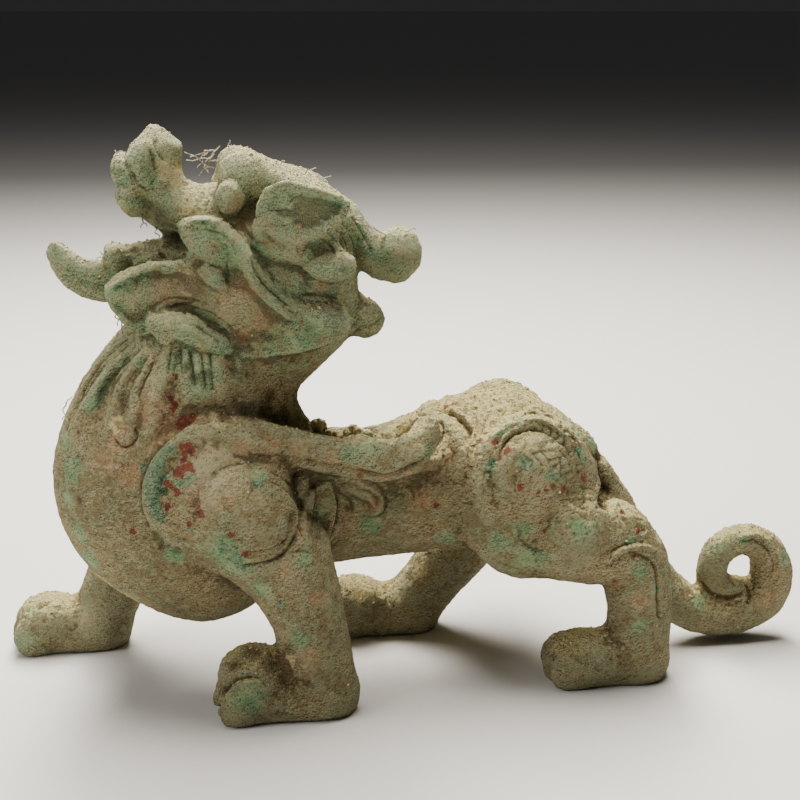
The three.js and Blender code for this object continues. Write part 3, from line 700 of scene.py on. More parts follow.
# %% Edges
EDGES = {
    "the shoulder's disc, its inner rim and the boss": [
        ([(153, 530), (146, 510), (144, 489), (147, 475), (156, 457), (172, 441), (191, 429),
          (214, 423)], 7, 1.6),
        ([(230, 458), (241, 461), (248, 470), (251, 482), (250, 494)], 3, 0.6),
        ([(266, 484), (278, 488), (288, 498), (294, 509), (296, 520), (293, 533), (284, 547),
          (268, 558)], 6, 1.5),
    ],
    "the leaf and the curl behind the shoulder": [
        ([(304, 535), (302, 515), (306, 498), (315, 487), (328, 483), (334, 496), (334, 516),
          (329, 537)], 4, 1.2),
        ([(334, 477), (350, 478), (366, 482), (378, 490), (383, 500), (381, 510), (373, 515),
          (364, 512)], 6, 1.3),
        ([(398, 492), (405, 490), (410, 494), (409, 501)], 2.2, 0.5),
    ],
    "the lips and the leaf under the ear": [
        ([(180, 228), (190, 221), (203, 219), (217, 221), (229, 226), (238, 234), (244, 243),
          (248, 255)], 4, 0.9),
        ([(248, 255), (252, 267), (256, 281), (265, 294), (276, 304), (288, 314),
          (300, 321)], 4, 0.9),
        ([(108, 294), (113, 286), (122.5, 279), (137, 271.5), (151, 266), (164, 263.5),
          (178, 264)], 4, 0.8),
        ([(300, 297), (314, 298), (328, 301), (341, 309), (348, 320), (350, 331)], 5, 1.3),
    ],
    "the haunch's disc and its rear edge, and the hock's cap": [
        ([(497, 452), (503, 438), (514, 427), (528, 421), (543, 421), (558, 429),
          (570, 443)], 3, 0.7),
        ([(605, 560), (616, 552.5), (626, 548), (637, 546), (649, 546.5), (658, 552),
          (664, 563)], 4, 0.9),
    ],
}
for path, reach, height in every(EDGES):
    edge(path, reach, height)
print(len(every(EDGES)), "edges a side")

# %% Edges of the wings
WING_EDGES = {
    "lower edge of the wing": [
        ([(433, 446), (421, 458), (409, 463), (399, 468), (384, 472), (369, 469.5),
          (350, 464.5)], 6, 1.4),
        ([(350, 464.5), (325, 461), (298, 456), (268, 452), (248, 449)], 4, 0.4),
    ],
    "upper edge of its tip": [
        ([(354, 432), (366, 439), (382, 445), (397, 443), (409, 434), (418, 423),
          (427, 415)], 6, 1.8),
    ],
}
for path, reach, height in every(WING_EDGES):
    edge(path, reach, height, drop=FAR_WING_DROP)
print(len(every(WING_EDGES)), "edges a wing")

# %% [markdown]
# ## Corrosion
# Corrosion pits the skin and swells it into small warts, and earth cements itself to the upper
# faces as a thicker, coarser crust. Real bumps are needed where they show in the outline, so noise
# moves the vertices too, with more height where the skin looks up. The shoulder and the leaves of
# the head are smoother than the rest, so both get less of it. Worm-like wrinkles lie on the haunch
# and the back. Finer grain follows in the material.
#
# Each noise is given by how often it repeats in a millimetre and by its height in millimetres.

# %% Where the skin is rough
HEAD_HEIGHT, ELBOW_HEIGHT = 0.118, 0.04
WRINKLE_SPOTS = [(548, 452, 9), (565, 446, 6), (480, 405, 9), (520, 400, 8), (452, 420, 5)]


def round_shoulder(points):
    low = points[:, 2] + MIDDLE.z < HEAD_HEIGHT
    return (points[:, 0] + MIDDLE.x < 0.0) & low & (points[:, 2] + MIDDLE.z > ELBOW_HEIGHT)


crusted = rising(normals[:, 2], 0.15, 0.6) * (1 - 0.7 * round_shoulder(rest))
wrinkled = np.zeros(len(rest))
for across, down, radius in WRINKLE_SPOTS:
    middle = np.array(on_skin(fine_skin, across, down))
    away = np.linalg.norm(rest - middle, axis=1) / radius * 1000
    wrinkled = np.maximum(wrinkled, np.exp(-(away**2)))
high_in_front = (rest[:, 2] + MIDDLE.z > HEAD_HEIGHT) & (rest[:, 0] + MIDDLE.x < 0.02)
calm = 1 - 0.5 * (high_in_front & (np.abs(normals[:, 1]) > 0.5))
print(round(100 * float((crusted > 0.5).mean())), "% of the skin has a crust")

# %% Warts, crust and wrinkles
WARTS, SWELLING = (0.75, 0.26), (0.25, 0.25)
CRUST, CRUST_LUMPS, CRUST_START = (0.9, 0.45), (0.45, 0.40), Vector((40, 0, 0))
WRINKLES, WRINKLE_FLOOR = (0.4, 2.0), 0.3

for i, point in enumerate(rest):
    spot = Vector(point) * 1000
    wart = noise.noise(spot * WARTS[0]) * WARTS[1] + noise.noise(spot * SWELLING[0]) * SWELLING[1]
    lumps = noise.noise(spot * CRUST[0] + CRUST_START) * CRUST[1]
    lumps += abs(noise.noise(spot * CRUST_LUMPS[0])) * CRUST_LUMPS[1]
    worm = abs(noise.noise(spot * WRINKLES[0])) * WRINKLES[1] - WRINKLE_FLOOR
    moves[i] += (calm[i] * (wart + crusted[i] * lumps) + wrinkled[i] * worm) / 1000
carved = rest + normals * moves[:, None]
casting.data.vertices.foreach_set("co", carved.astype(np.float32).ravel())
casting.data.update()
modify(casting, "SMOOTH", factor=0.25, iterations=1)
print("the furthest move is", round(1000 * float(np.abs(moves).max()), 1), "mm")

# %% [markdown]
# The net has to be thinned to under 200,000 triangles. A square counts as two triangles, but the
# squares that are already flat fall away first, so the share is worked out with 1.7 instead of 2.

# %% Thin the net
WANTED_FACES, TRIANGLES_PER_FACE = 190000, 1.7
kept_share = WANTED_FACES / (TRIANGLES_PER_FACE * len(casting.data.polygons))
modify(casting, "DECIMATE", ratio=kept_share)
print("after thinning:", len(casting.data.polygons), "triangles")

# %% [markdown]
# ## Where each colour lies
# The colours of old bronze follow its shape. Earth stays on upper faces and in hollows, edges are
# worn to a pale green, and undersides get painted shade. A few patches can't be worked out, such as
# the deep green on the shoulder or the red copper oxide around it. They are dabbed on where the
# picture shows them. The mirror side, which it doesn't show, gets the same dabs moved about.
#
# Each kind of colour becomes one attribute of the mesh, which the material can read. The first is
# `cavity`: a vertex that lies below the mean of its neighbourhood is in a hollow. Two widths of
# neighbourhood are compared with the skin.

# %% Hollows
WIDE, NARROW = 12, 3  # rounds of relaxing, each of which reaches one vertex further
place = stored(casting, "co")
facing = stored(casting, "normal")
patina_skin = skin_of(casting)
pairs = np.empty(2 * len(casting.data.edges), np.int32)
casting.data.edges.foreach_get("vertices", pairs)
pairs = pairs.reshape(-1, 2)
count = np.bincount(pairs.ravel(), minlength=len(place))[:, None]


def relaxed(values, times):
    for _ in range(times):
        total = np.zeros_like(values)
        for column in range(values.shape[1]):
            total[:, column] += np.bincount(pairs[:, 0], values[pairs[:, 1], column], len(values))
            total[:, column] += np.bincount(pairs[:, 1], values[pairs[:, 0], column], len(values))
        values = total / count
    return values


depth = 1000 * ((relaxed(place, WIDE) - place) * facing).sum(1)
fine_depth = 1000 * ((relaxed(place, NARROW) - place) * facing).sum(1)
cavity = np.clip(0.5 + 1.1 * depth + 1.2 * fine_depth, 0, 1)
print("the deepest hollow is", round(float(depth.max()), 1), "mm deep")

# %% [markdown]
# A dab is a soft round spot, given by where it is seen and its radius in pixels. `scatter` is how
# far its twin on the mirror side may stray.

# %% Dabs
PIXEL = 0.00033  # metres, at the beast
DAB_FALL = 0.7
ANY_DEPTH = 99  # a dab may land on the far legs too


def dabs(groups, scatter=0.0):
    mask = np.zeros(len(place))
    for across, down, radius in every(groups):
        left = on_skin(patina_skin, across, down, furthest=ANY_DEPTH)
        shift = [random.uniform(-scatter, scatter) for _ in range(2)]
        strayed = on_skin(patina_skin, across + shift[0], down + shift[1], furthest=ANY_DEPTH)
        right = twin_of(patina_skin, strayed)
        for centre, size in ((left, 1.0), (right, random.uniform(0.6, 1.1))):
            away = np.linalg.norm(place - np.array(centre), axis=1) / (radius * size * PIXEL)
            mask = np.maximum(mask, np.exp(-DAB_FALL * away**2))
    return mask


TEAL = {
    "the shoulder's crescent and the patches below it": [
        (169, 450, 6), (162, 456, 7), (156, 464, 8), (152, 474, 8), (150, 485, 8), (151, 496, 8),
        (154, 507, 8), (159, 518, 6), (163, 478, 6), (160, 490, 7), (178, 484, 5), (187, 481, 6),
        (193, 478, 4), (142, 466, 3), (144, 471, 3), (190, 529, 4), (224, 549, 6), (236, 560, 7),
        (243, 567, 4), (281, 604, 4), (284, 607, 3), (258, 484, 5), (253, 463, 3),
    ],
    "the haunch, the rump and the hock": [
        (524, 462, 7), (531, 465, 5), (551, 475, 6), (560, 478, 4), (519, 420, 4), (508, 425, 3),
        (493, 462, 4), (491, 472, 3), (626, 542, 4), (566, 435, 4), (578, 452, 5), (584, 462, 4),
        (657, 590, 3),
    ],
    "tusk, lips, ear and knob": [
        (222, 345, 7), (217, 338, 5), (56, 252, 4), (116, 288, 4), (205, 222, 4), (336, 205, 6),
        (343, 205, 4), (372, 252, 5), (376, 258, 4), (343, 268, 4), (343, 318, 4), (217, 281, 4),
    ],
}
print(len(every(TEAL)), "dabs of deep green")

# %% Green dabs
GREEN = {
    "the shoulder, the breast's left edge and the locks of the neck": [
        (223, 551, 16), (235, 566, 14), (176, 557, 10), (258, 478, 8), (72, 470, 12), (68, 500, 10),
        (80, 535, 10), (66, 440, 10), (90, 400, 9), (105, 385, 8), (122, 368, 7), (140, 360, 8),
        (182, 362, 12), (205, 372, 14), (200, 388, 10), (90, 560, 10),
    ],
    "the ear, the valley behind the lip, and the leaf under the ear": [
        (300, 212, 30), (325, 208, 16), (275, 205, 14), (258, 255, 12), (264, 272, 13),
        (275, 290, 13), (290, 300, 12), (250, 248, 8), (325, 320, 20), (342, 322, 12),
        (300, 345, 16), (270, 351, 8), (345, 268, 10), (325, 274, 8), (360, 232, 12),
        (375, 254, 10), (395, 240, 8), (380, 318, 8),
    ],
    "tusk, lips, fang and beard": [
        (75, 268, 14), (58, 252, 10), (95, 284, 10), (205, 228, 12), (222, 236, 11), (236, 252, 9),
        (122, 285, 9), (112, 296, 9), (122, 312, 8), (145, 273, 7), (170, 268, 6), (217, 276, 7),
        (185, 332, 14), (215, 342, 12), (225, 350, 8), (250, 298, 5),
    ],
    "the nose and the brow": [
        (140, 160, 11), (146, 175, 10), (122, 168, 7), (169, 205, 9), (222, 172, 7), (226, 200, 7),
    ],
    "the flank, the wing, the haunch and the legs": [
        (365, 445, 12), (432, 452, 7), (448, 538, 10), (373, 524, 10), (318, 514, 5), (350, 455, 8),
        (580, 453, 6), (565, 418, 12), (578, 432, 12), (595, 447, 9), (537, 408, 8), (500, 430, 8),
        (492, 468, 6), (530, 560, 16), (580, 530, 10), (578, 430, 8), (590, 440, 8), (520, 530, 8),
        (655, 590, 5), (640, 570, 8), (630, 543, 6), (250, 700, 16), (305, 560, 8), (262, 590, 10),
        (300, 640, 8), (742, 535, 8), (722, 545, 8), (785, 560, 7), (700, 600, 8), (640, 625, 8),
        (25, 640, 10), (500, 545, 12), (350, 575, 8),
    ],
}
print(len(every(GREEN)), "dabs of green")

# %% Pink and red dabs
PINK = {
    "cheek and jaw": [
        (190, 285, 17), (165, 292, 13), (245, 292, 16), (228, 308, 16), (262, 320, 13),
        (243, 335, 10),
    ],
    "shoulder": [(215, 475, 26), (205, 497, 16)],
    "neck and breast": [
        (170, 427, 12), (160, 440, 9), (150, 452, 7), (120, 440, 14), (105, 462, 14),
        (130, 475, 14), (155, 360, 9), (150, 395, 9), (158, 405, 8), (148, 415, 12),
    ],
    "wing and the shelf under it": [
        (245, 448, 10), (270, 447, 10), (300, 450, 9), (330, 457, 7), (360, 473, 7), (385, 478, 7),
        (410, 474, 8), (430, 464, 8), (450, 455, 8), (373, 505, 8), (475, 430, 9),
    ],
    "ear, curl and eye": [
        (300, 226, 5), (298, 240, 6), (322, 285, 7), (236, 203, 10), (246, 222, 10),
    ],
    "legs, tail, flank and knobs": [
        (285, 570, 9), (320, 600, 10), (225, 500, 10), (770, 600, 11), (750, 560, 9), (300, 530, 8),
        (400, 250, 6), (345, 345, 7), (370, 310, 7), (420, 500, 12), (310, 660, 12), (600, 640, 10),
        (640, 600, 9), (90, 620, 10),
    ],
}
RED = {
    "shoulder": [
        (181, 446, 3), (188, 446, 4), (192, 451, 4), (185, 453, 4), (195, 457, 3), (183, 461, 4),
        (189, 465, 4), (184, 468, 4), (178, 470, 4), (192, 470, 4), (176, 474, 4), (181, 476, 4),
        (167, 484, 4), (171, 486, 3), (177, 493, 4),
    ],
    "below the crescent": [
        (178, 492, 4), (167, 506, 4), (201, 514, 5), (189, 524, 4), (231, 535, 4), (245, 554, 4),
    ],
    "neck": [(172, 410, 4), (183, 423, 8), (192, 418, 6), (175, 377, 4)],
    "breast": [(133, 531, 4)],
    "haunch": [
        (496, 442, 4), (508, 451, 5), (520, 487, 4), (536, 492, 4), (545, 491, 3), (553, 487, 4),
        (563, 488, 4), (584, 478, 4),
    ],
    "back and flank": [(447, 406, 5), (455, 403, 4), (436, 505, 4)],
    "thigh and hock": [(622, 512, 4), (638, 530, 4), (633, 557, 3), (614, 581, 4), (545, 531, 3)],
    "under the beard": [(170, 398, 4), (175, 404, 4)],
}
print(len(every(PINK)), "dabs of pink clay,", len(every(RED)), "of red oxide")

# %% Dabs of earth, dust and painted shade
EARTH = {
    "rump and back": [
        (490, 390, 26), (465, 400, 18), (515, 398, 18), (540, 402, 10), (440, 410, 12),
        (395, 428, 12), (370, 425, 10),
    ],
    "snout and brow": [
        (200, 190, 20), (180, 178, 15), (165, 168, 10), (190, 205, 14), (270, 165, 12),
        (300, 178, 8), (330, 190, 6),
    ],
    "far paws": [(45, 605, 12), (70, 605, 12), (390, 590, 16), (360, 590, 14), (420, 570, 10)],
    "single spots": [(118, 425, 8), (135, 245, 8), (628, 510, 10), (290, 660, 6), (560, 645, 6)],
    "haunch and wing": [(530, 445, 14), (550, 455, 10), (455, 425, 8)],
}
# Painted shade: dark dabs where shade falls, in the palate and under the snout, under the jaw and
# the wing, between locks, at the root of the tail and beside the paw.
SHADE_DABS = {
    "palate": [(160, 222, 9), (172, 232, 8), (150, 240, 6), (135, 250, 5)],
    "neck under the jaw": [
        (265, 410, 12), (245, 412, 10), (285, 415, 8), (225, 415, 8), (270, 395, 8),
    ],
    "under the wing": [(330, 474, 4), (360, 476, 4)],
    "breast": [(80, 500, 5)],
    "root of the tail": [(602, 490, 7), (600, 500, 6), (601, 508, 6)],
    "between the short locks": [(187, 366, 6), (196, 378, 6), (205, 374, 6)],
    "near front paw": [(250, 652, 12), (235, 665, 9), (270, 662, 10), (225, 690, 6), (288, 650, 8)],
    "snout": [(150, 207, 8), (159, 214, 9), (168, 224, 9), (178, 230, 6), (147, 216, 6)],
}
DUSTY = {
    "haunch and shoulder": [(545, 455, 18), (215, 475, 22)],
    "brow": [(230, 165, 14), (255, 175, 12)],
    "hind paw": [(600, 650, 14)],
    "ear, behind": [(320, 215, 12)],
    "far paws, ear and cheek": [(85, 620, 22), (400, 590, 16), (300, 212, 20), (190, 285, 10)],
}
print(len(every(EARTH)) + len(every(SHADE_DABS)) + len(every(DUSTY)), "dabs of earth, dust and dark")

# %% [markdown]
# The head is greener and dustier than the body, upper faces hold earth, though the shoulder holds
# less of it, and undersides and the lower legs get painted shade. Each mask is the larger of what
# the shape says and what the dabs say.

# %% Masks
BEARD_HEIGHT, THIGH_HEIGHT = 0.100, 0.055
WIDELY, FAIRLY, HARDLY = 26, 20, 16  # how far a twin strays, in pixels
looks_up = facing[:, 2]
in_head = rising(place[:, 2], BEARD_HEIGHT, 0.025) * (place[:, 0] < NAPE)
# Painted shade: faces that look down, and low faces of the legs that don't look up, are darkened.
shade_low_down = 0.4 * falling(place[:, 2], THIGH_HEIGHT, 0.03) * (looks_up < 0.3)
shaded_underside = np.maximum(np.clip(-0.2 - looks_up, 0, 1), shade_low_down)
upper_side = rising(looks_up, 0.35, 0.6) * (1 - 0.5 * round_shoulder(place))
masks = {
    "green": np.maximum(dabs(GREEN, WIDELY), 0.45 * in_head),
    "teal": dabs(TEAL, FAIRLY),
    "pink": dabs(PINK, WIDELY),
    "red": dabs(RED, FAIRLY),
    "earth": np.maximum(upper_side, dabs(EARTH, HARDLY)),
    "painted_shade": np.maximum(shaded_underside, dabs(SHADE_DABS)),
    "dusty": np.maximum(in_head * np.clip(1.5 * looks_up, 0, 1), dabs(DUSTY)),
    "cavity": cavity,
}
for name, mask in masks.items():
    layer = casting.data.attributes.new(name, "FLOAT", "POINT")
    layer.data.foreach_set("value", mask.astype(np.float32))
    print(name, "covers", round(100 * float((mask > 0.5).mean())), "% of the skin")

# %% [markdown]
# ## The patina
# Bronze that lay in the ground isn't metallic any more: its skin is copper carbonate, oxide and
# earth, all dull. So the material has no metallic part and hardly any gloss, and everything
# depends on layered colour and grain. From the lowest layer up they are a brown-green ground,
# green malachite, pink clay, sandy earth, deep green, pale dust and worn edges. Grime then darkens
# the pores, painted shade and painted highlights model each granule, red oxide breaks through,
# hollows are darkened, and painted shade is laid on undersides last.
#
# Shader nodes are easier to read as sums. The class below wraps a socket so that `a * 0.5 + b`
# builds the Math nodes, and its `node` method adds any other kind. `over` lays one colour on
# another, and `stained` multiplies it by one, as a thin dark wash does.


# %% A readable way to write nodes
class Shade:
    def __init__(self, output):
        self.output = output

    def node(self, kind, settings, inputs, output=0):
        made = self.output.id_data.nodes.new("ShaderNode" + kind)
        for name, value in settings.items():
            setattr(made, name, value)
        for name, value in inputs.items():
            if isinstance(value, Shade):
                made.id_data.links.new(value.output, made.inputs[name])
            else:
                made.inputs[name].default_value = value
        return Shade(made.outputs[output])

    def maths(self, operation, first, second):
        return self.node("Math", {"operation": operation}, {0: first, 1: second})

    def __add__(self, other):
        return self.maths("ADD", self, other)

    def __radd__(self, other):
        return self.maths("ADD", other, self)

    def __sub__(self, other):
        return self.maths("SUBTRACT", self, other)

    def __rsub__(self, other):
        return self.maths("SUBTRACT", other, self)

    def __mul__(self, other):
        return self.maths("MULTIPLY", self, other)

    def __rmul__(self, other):
        return self.maths("MULTIPLY", other, self)

    def largest(self, other):
        return self.maths("MAXIMUM", self, other)

    def between(self, low, high):
        ramp = {"interpolation_type": "SMOOTHSTEP"}
        return self.node("MapRange", ramp, {0: self, 1: low, 2: high})

    def over(self, under, amount):
        return self.node("Mix", {"data_type": "RGBA"}, {0: amount, 6: under, 7: self}, 2)

    def stained(self, stain, amount):
        staining = {"data_type": "RGBA", "blend_type": "MULTIPLY"}
        return self.node("Mix", staining, {0: amount, 6: self, 7: stain}, 2)


def start_of(finish):
    return Shade(finish.node_tree.nodes.new("ShaderNodeTexCoord").outputs["Object"])


def screen(red, green, blue):
    linear = [((c / 255 + 0.055) / 1.055) ** 2.4 for c in (red, green, blue)]
    return (*linear, 1)


print("a mid grey on the screen is", round(screen(128, 128, 128)[0], 3), "in a shader")

# %% [markdown]
# The grain works at four scales: patches 16 mm wide, blots of 5 mm, granules of 1.5 mm, and dust of
# 0.7 mm. They fray the masks too, so that no patch has a smooth outline.
#
# Under a soft lamp a bump hardly shows, so the light and shade of the grain's relief is painted in:
# the noise is compared with the same noise a little higher up. It is positive on the upper side of
# each granule, which gets a painted highlight along with the pale dust that settles there, and
# negative below it, which gets painted shade.

# %% Grain of the patina
patina, shader = material("patinated_bronze")
start = start_of(patina)
A_LITTLE_HIGHER = (-0.0001, 0.0, 0.0003)


def grain(size, detail=3.0, roughness=0.55, where=None):
    settings = {"Scale": 1000 / size, "Detail": detail, "Roughness": roughness}
    return start.node("TexNoise", {}, {"Vector": where or start, **settings})


def mask_of(name):
    return start.node("Attribute", {"attribute_name": name}, {}, "Fac")


patches, blots = grain(16), grain(5, 4.0)
granules, dust = grain(1.5, 4.0, 0.7), grain(0.7, 3.0, 0.75)
speckle = (dust + granules) * 0.5
above = start.node("VectorMath", {"operation": "ADD"}, {0: start, 1: A_LITTLE_HIGHER})
# Painted light and shade of the granules: positive on the upper side of each, negative below it.
granule_light_and_shade = grain(0.9, 4.0, 0.7) - grain(0.9, 4.0, 0.7, above)
rough_spots = (blots + patches).between(0.85, 1.15) * 0.6 + 0.4
crack = grain(5, 5.0, 0.6) - 0.5
crack = crack.maths("ABSOLUTE", crack, 0.0).between(0.03, 0.0)
print("grain made of", len(patina.node_tree.nodes), "nodes")

# %% [markdown]
# The colours are given as red, green and blue from 0 to 255. Each kind of crust has two
# tones, which one of the grains mixes.


# %% Colours of the patina
def flat(red, green, blue):
    return start.node("Mix", {"data_type": "RGBA"}, {0: 0.0, 6: screen(red, green, blue)}, 2)


ground = flat(180, 163, 116).over(flat(154, 140, 98), patches.between(0.35, 0.65))
ground = flat(150, 163, 120).over(ground, blots.between(0.46, 0.62) * 0.5)
ground = flat(206, 172, 126).over(ground, (patches + blots).between(1.0, 1.2) * 0.5)
malachite = flat(128, 174, 122).over(flat(172, 200, 144), blots.between(0.42, 0.6))
deep_malachite = flat(66, 124, 90).over(flat(128, 176, 134), granules.between(0.42, 0.6))
clay = flat(212, 170, 124).over(flat(188, 150, 106), blots.between(0.4, 0.65))
earth = flat(255, 238, 168).over(flat(246, 222, 148), speckle.between(0.42, 0.58))
oxide = flat(168, 54, 46).over(flat(110, 30, 26), dust.between(0.4, 0.6))
# The third tone is a painted highlight for the upper side of each granule, with some pale dust.
pale_dust, worn_edge, dust_and_highlight = flat(240, 240, 192), flat(206, 212, 170), flat(236, 228, 190)
# The grime wash also paints the shade below each granule.
grime_and_shade_wash, crack_wash = flat(104, 92, 66), flat(104, 88, 62)
hollow_wash, shadow_wash = flat(110, 92, 64), flat(120, 104, 78)
print("patina so far made of", len(patina.node_tree.nodes), "nodes")

# %% [markdown]
# `broken` frays a mask with two grains. In each line below, the last number is how strongly that
# layer shows at most. Grime, and the painted shade below each granule, keep off the bright layers,
# which would turn grey under them.


# %% Layers of the patina
def broken(mask, fray, low, high):
    return (mask + (blots - 0.5) * fray + (granules - 0.5) * fray).between(low, high)


cavity_share, dusty_share = mask_of("cavity"), mask_of("dusty")
green_share = broken(mask_of("green") + (patches - 0.5) * 0.6, 1.2, 0.1, 0.75)
deep_share = (mask_of("teal") + (granules - 0.5) * 1.4).between(0.4, 0.6)
red_share = mask_of("red") + (granules - 0.5) * 1.6 + (dust - 0.5) * 0.6
hollows = (cavity_share + (dust - 0.5) * 0.3).between(0.58, 1.0)
edges = (0.5 - cavity_share + (granules - 0.5) * 0.5).between(0.15, 0.5)
grime_and_shade_share = 1 - 0.5 * mask_of("earth").largest(dusty_share).largest(mask_of("pink"))

skin = malachite.over(ground, green_share * 0.9)
skin = clay.over(skin, broken(mask_of("pink"), 1.0, 0.25, 0.85) * 0.75)
skin = earth.over(skin, broken(mask_of("earth"), 1.1, 0.35, 0.75) * 0.9)
skin = deep_malachite.over(skin, deep_share * 0.9)
skin = pale_dust.over(skin, dusty_share * 0.55)
skin = worn_edge.over(skin, edges * 0.35)
skin = skin.stained(grime_and_shade_wash, speckle.between(0.47, 0.36) * grime_and_shade_share * 0.8)
# Painted shade below each granule, then a painted highlight on its upper side, where some pale dust
# also settles.
skin = skin.stained(grime_and_shade_wash, granule_light_and_shade.between(-0.02, -0.12) * rough_spots * grime_and_shade_share * 0.8)
skin = dust_and_highlight.over(skin, granule_light_and_shade.between(0.02, 0.12) * rough_spots * 0.4)
skin = skin.stained(crack_wash, crack * rough_spots * 0.3)
skin = oxide.over(skin, red_share.between(0.5, 0.66) * 0.8)
skin = skin.stained(hollow_wash, hollows * 0.6)
# Painted shade on undersides, low on the legs and in the dabbed recesses.
skin = skin.stained(shadow_wash, mask_of("painted_shade").between(0.2, 1.0) * 0.7)
print("patina so far made of", len(patina.node_tree.nodes), "nodes")

# %% Relief and gloss of the patina
BUMP_HEIGHT = 0.0032


def finish_with(shader, sockets):
    for name, value in sockets.items():
        if isinstance(value, Shade):
            shader.id_data.links.new(value.output, shader.inputs[name])
        else:
            shader.inputs[name].default_value = value


relief = granules * 0.8 + dust * 0.7 + blots * 0.3 - crack * 0.12
bump = start.node("Bump", {}, {"Height": relief, "Strength": 1.0, "Distance": BUMP_HEIGHT})
dull = 0.97 - green_share * 0.15
finish_with(shader, {"Base Color": skin, "Normal": bump, "Roughness": dull})
finish_with(shader, {"Metallic": 0.0, "Specular IOR Level": 0.3})
casting.data.materials.clear()
casting.data.materials.append(patina)
casting.data.shade_smooth()
print("patina made of", len(patina.node_tree.nodes), "nodes")

# %% [markdown]
# ## Loose earth
# Sand grains are cemented to the upper faces. They are what makes the outline crumble. Each is a
# sphere of 20 faces, because thousands of them are needed, squashed and turned at random. A bmesh
# operator slows down as its mesh grows, so they are made in handfuls, each of which is then added
# to the whole. Small grains are commoner than big ones.
#
# Where the grains land is drawn from the mask of earth, so that they thin out with the colour.

# %% Grains
GRAINS, HANDFUL = 5200, 50
SMALLEST, LARGEST = 0.18, 0.55
LOWEST, SUNK = 0.004, 0.00008  # metres: none lies near the floor, and each sits in the skin


def handful(spots):
    made = bmesh.new()
    for spot in spots:
        size = random.uniform(SMALLEST, LARGEST) ** 2 / LARGEST
        radii = [size * random.uniform(0.7, 1.2) for _ in range(3)]
        turn = [random.uniform(0, 360) for _ in range(3)]
        lump(made, spot, radii, turn, detail=1)
    mesh = bpy.data.meshes.new("handful")
    made.to_mesh(mesh)
    made.free()
    return mesh


chance = masks["earth"] ** 1.5 + 0.02 * (looks_up > -0.2)
chance *= place[:, 2] > LOWEST
chosen = random.choices(range(len(place)), weights=chance.tolist(), k=GRAINS)
spots = [Vector(place[i] - facing[i] * SUNK) for i in chosen]
heap = bmesh.new()
for first in range(0, GRAINS, HANDFUL):
    heap.from_mesh(handful(spots[first : first + HANDFUL]))
grains = piece_of("earth_grains", heap)
print(GRAINS, "grains,", len(grains.data.polygons), "faces")

# %% [markdown]
# A few clods have stuck to the back, one as big as a pea. Each is a rough ball: a sphere whose
# vertices are pushed about by noise. A line holds how far across the picture it is seen, how far it
# lies to the right of the middle plane, and its radius in millimetres. A ray straight down finds the
# back there.

# %% Clods
CLODS = [
    (318, -4, 2.8), (305, -6, 1.0), (328, -6, 1.2), (334, -5, 0.9), (353, -4, 1.8), (361, -3, 2.3),
    (367, -5, 1.9), (373, -4, 1.5), (346, -6, 1.2), (357, -7, 1.4), (379, -6, 1.1), (341, -9, 0.8),
]
DOWN = Vector((0, 0, -1))
OVER_THE_BACK = 400
CLOD_LIFT, CLOD_ROUGHNESS = 0.6, 0.28

heap = bmesh.new()
for across, out, radius in CLODS:
    back = patina_skin.ray_cast(seen(across, OVER_THE_BACK, out), DOWN)[0]
    centre = back + Vector((0, 0, CLOD_LIFT * radius / 1000))
    for vert in lump(heap, centre, [radius] * 3, detail=4):
        rough = noise.noise(vert.co * 900) + 0.6 * noise.noise(vert.co * 2200)
        vert.co = centre + (vert.co - centre) * (1 + CLOD_ROUGHNESS * rough)
clods = piece_of("earth_clods", heap)
clods.data.shade_smooth()
print(len(CLODS), "clods")

# %% [markdown]
# Fine root fibres and threads of old wrapping cling to the head. Each is a thin string that sags
# and wanders between where it starts and where it ends. Both ends are given by where they are seen
# and how far to the left of the middle plane they lie. A real one is thinner than a string here may
# be, so all of them come out at that least thickness.

# %% Fibres
FIBRE_SPANS, SLACK = 6, 0.7
FINEST, COARSEST = 0.06, 0.11  # millimetres in radius, on the real object


def fibre(web, start, end, radius):
    knots = []
    for i in range(FIBRE_SPANS + 1):
        wander = Vector([random.uniform(-SLACK, SLACK) / 1000 for _ in range(3)])
        share = i / FIBRE_SPANS
        knots.append(start.lerp(end, share) + wander * math.sin(math.pi * i / FIBRE_SPANS))
    string(web, knots, [radius] * len(knots), sides=4)


def end_of(across, down, out):
    return seen(across, down, -out)


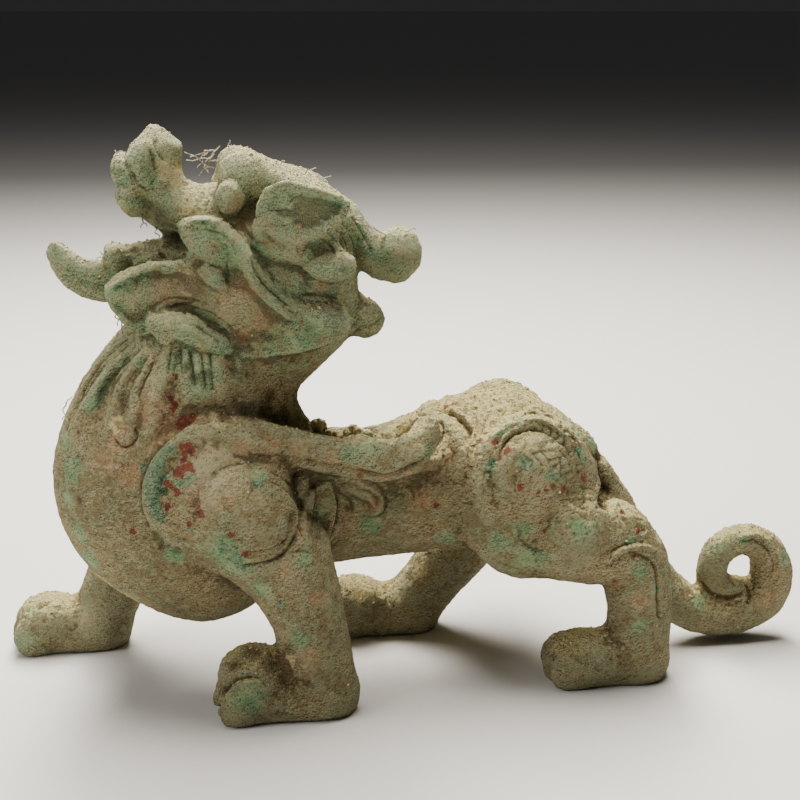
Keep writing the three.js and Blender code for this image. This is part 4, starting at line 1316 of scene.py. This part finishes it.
FIBRES = {
    "from the nose to the brow": [
        ((184, 152, 3), (214, 168, 4)), ((186, 160, 2), (216, 160, 3)),
        ((190, 157, 4), (213, 150, 5)), ((199, 176, 3), (214, 154, 4)),
        ((203, 155, 2), (217, 149, 3)), ((197, 168, 5), (206, 150, 3)),
        ((205, 162, 4), (220, 146, 3)), ((200, 160, 3), (209, 173, 5)),
    ],
    "on the crown, the ear and the horn": [
        ((272, 166, 6), (285, 161, 8)), ((300, 175, 9), (316, 168, 9)),
        ((318, 184, 12), (331, 176, 12)), ((345, 205, 22), (368, 224, 12)),
        ((350, 212, 20), (372, 229, 9)), ((356, 221, 14), (381, 232, 6)),
        ((394, 232, 3), (416, 229, 3)), ((388, 240, 4), (404, 228, 2)),
        ((360, 218, 14), (386, 236, 3)),
    ],
    "under the palate, on jaw, tusk, brow and snout": [
        ((137, 212, 6), (147, 227, 6)), ((143, 215, 5), (141, 228, 7)),
        ((152, 222, 5), (159, 238, 4)), ((118, 312, 9), (122, 334, 8)),
        ((116, 308, 9), (118, 326, 10)), ((97, 258, 3), (112, 250, 4)),
        ((100, 252, 3), (107, 263, 2)), ((228, 150, 6), (230, 140, 6)),
        ((115, 150, 5), (128, 158, 6)),
    ],
    "on the breast": [((64, 408, 12), (72, 396, 12)), ((62, 420, 12), (66, 402, 14))],
}
web = bmesh.new()
for one_end, other_end in every(FIBRES):
    fibre(web, end_of(*one_end), end_of(*other_end), random.uniform(FINEST, COARSEST))
fibres = piece_of("root_fibres", web)
print(len(every(FIBRES)), "fibres")

# %% [markdown]
# Sand is the same material all through, only its grains differ in tone. The fibres are pale and
# dusty.

# %% Materials of the loose pieces
sand, sand_shader = material("loose_earth")
start = start_of(sand)
tone, speck, stain = grain(2.2), grain(0.5), grain(9)
tint = flat(232, 214, 162).over(flat(158, 144, 98), tone.between(0.38, 0.62))
tint = flat(84, 74, 46).over(tint, speck.between(0.46, 0.36) * 0.4)
tint = flat(150, 162, 122).over(tint, stain.between(0.5, 0.62) * 0.6)
lumpy = start.node("Bump", {}, {"Height": speck, "Strength": 0.8, "Distance": 0.0004})
finish_with(sand_shader, {"Base Color": tint, "Normal": lumpy})
finish_with(sand_shader, {"Roughness": 0.97, "Specular IOR Level": 0.25})

threads, thread_shader = material("dusty_fibre")
start = start_of(threads)
tint = flat(206, 198, 178).over(flat(150, 140, 112), grain(1.5).between(0.4, 0.6))
finish_with(thread_shader, {"Base Color": tint, "Roughness": 0.9})

for piece, finish in ((grains, sand), (clods, sand), (fibres, threads)):
    piece.data.materials.append(finish)
    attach(piece, "root")
print("three loose pieces finished")

# %% [markdown]
# ## Into the frame
# The casting stands for the imported solid and rides on its body.

# %% Hand over
casting.name = "beast_casting"
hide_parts("bronze_beast")
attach(casting, "root")
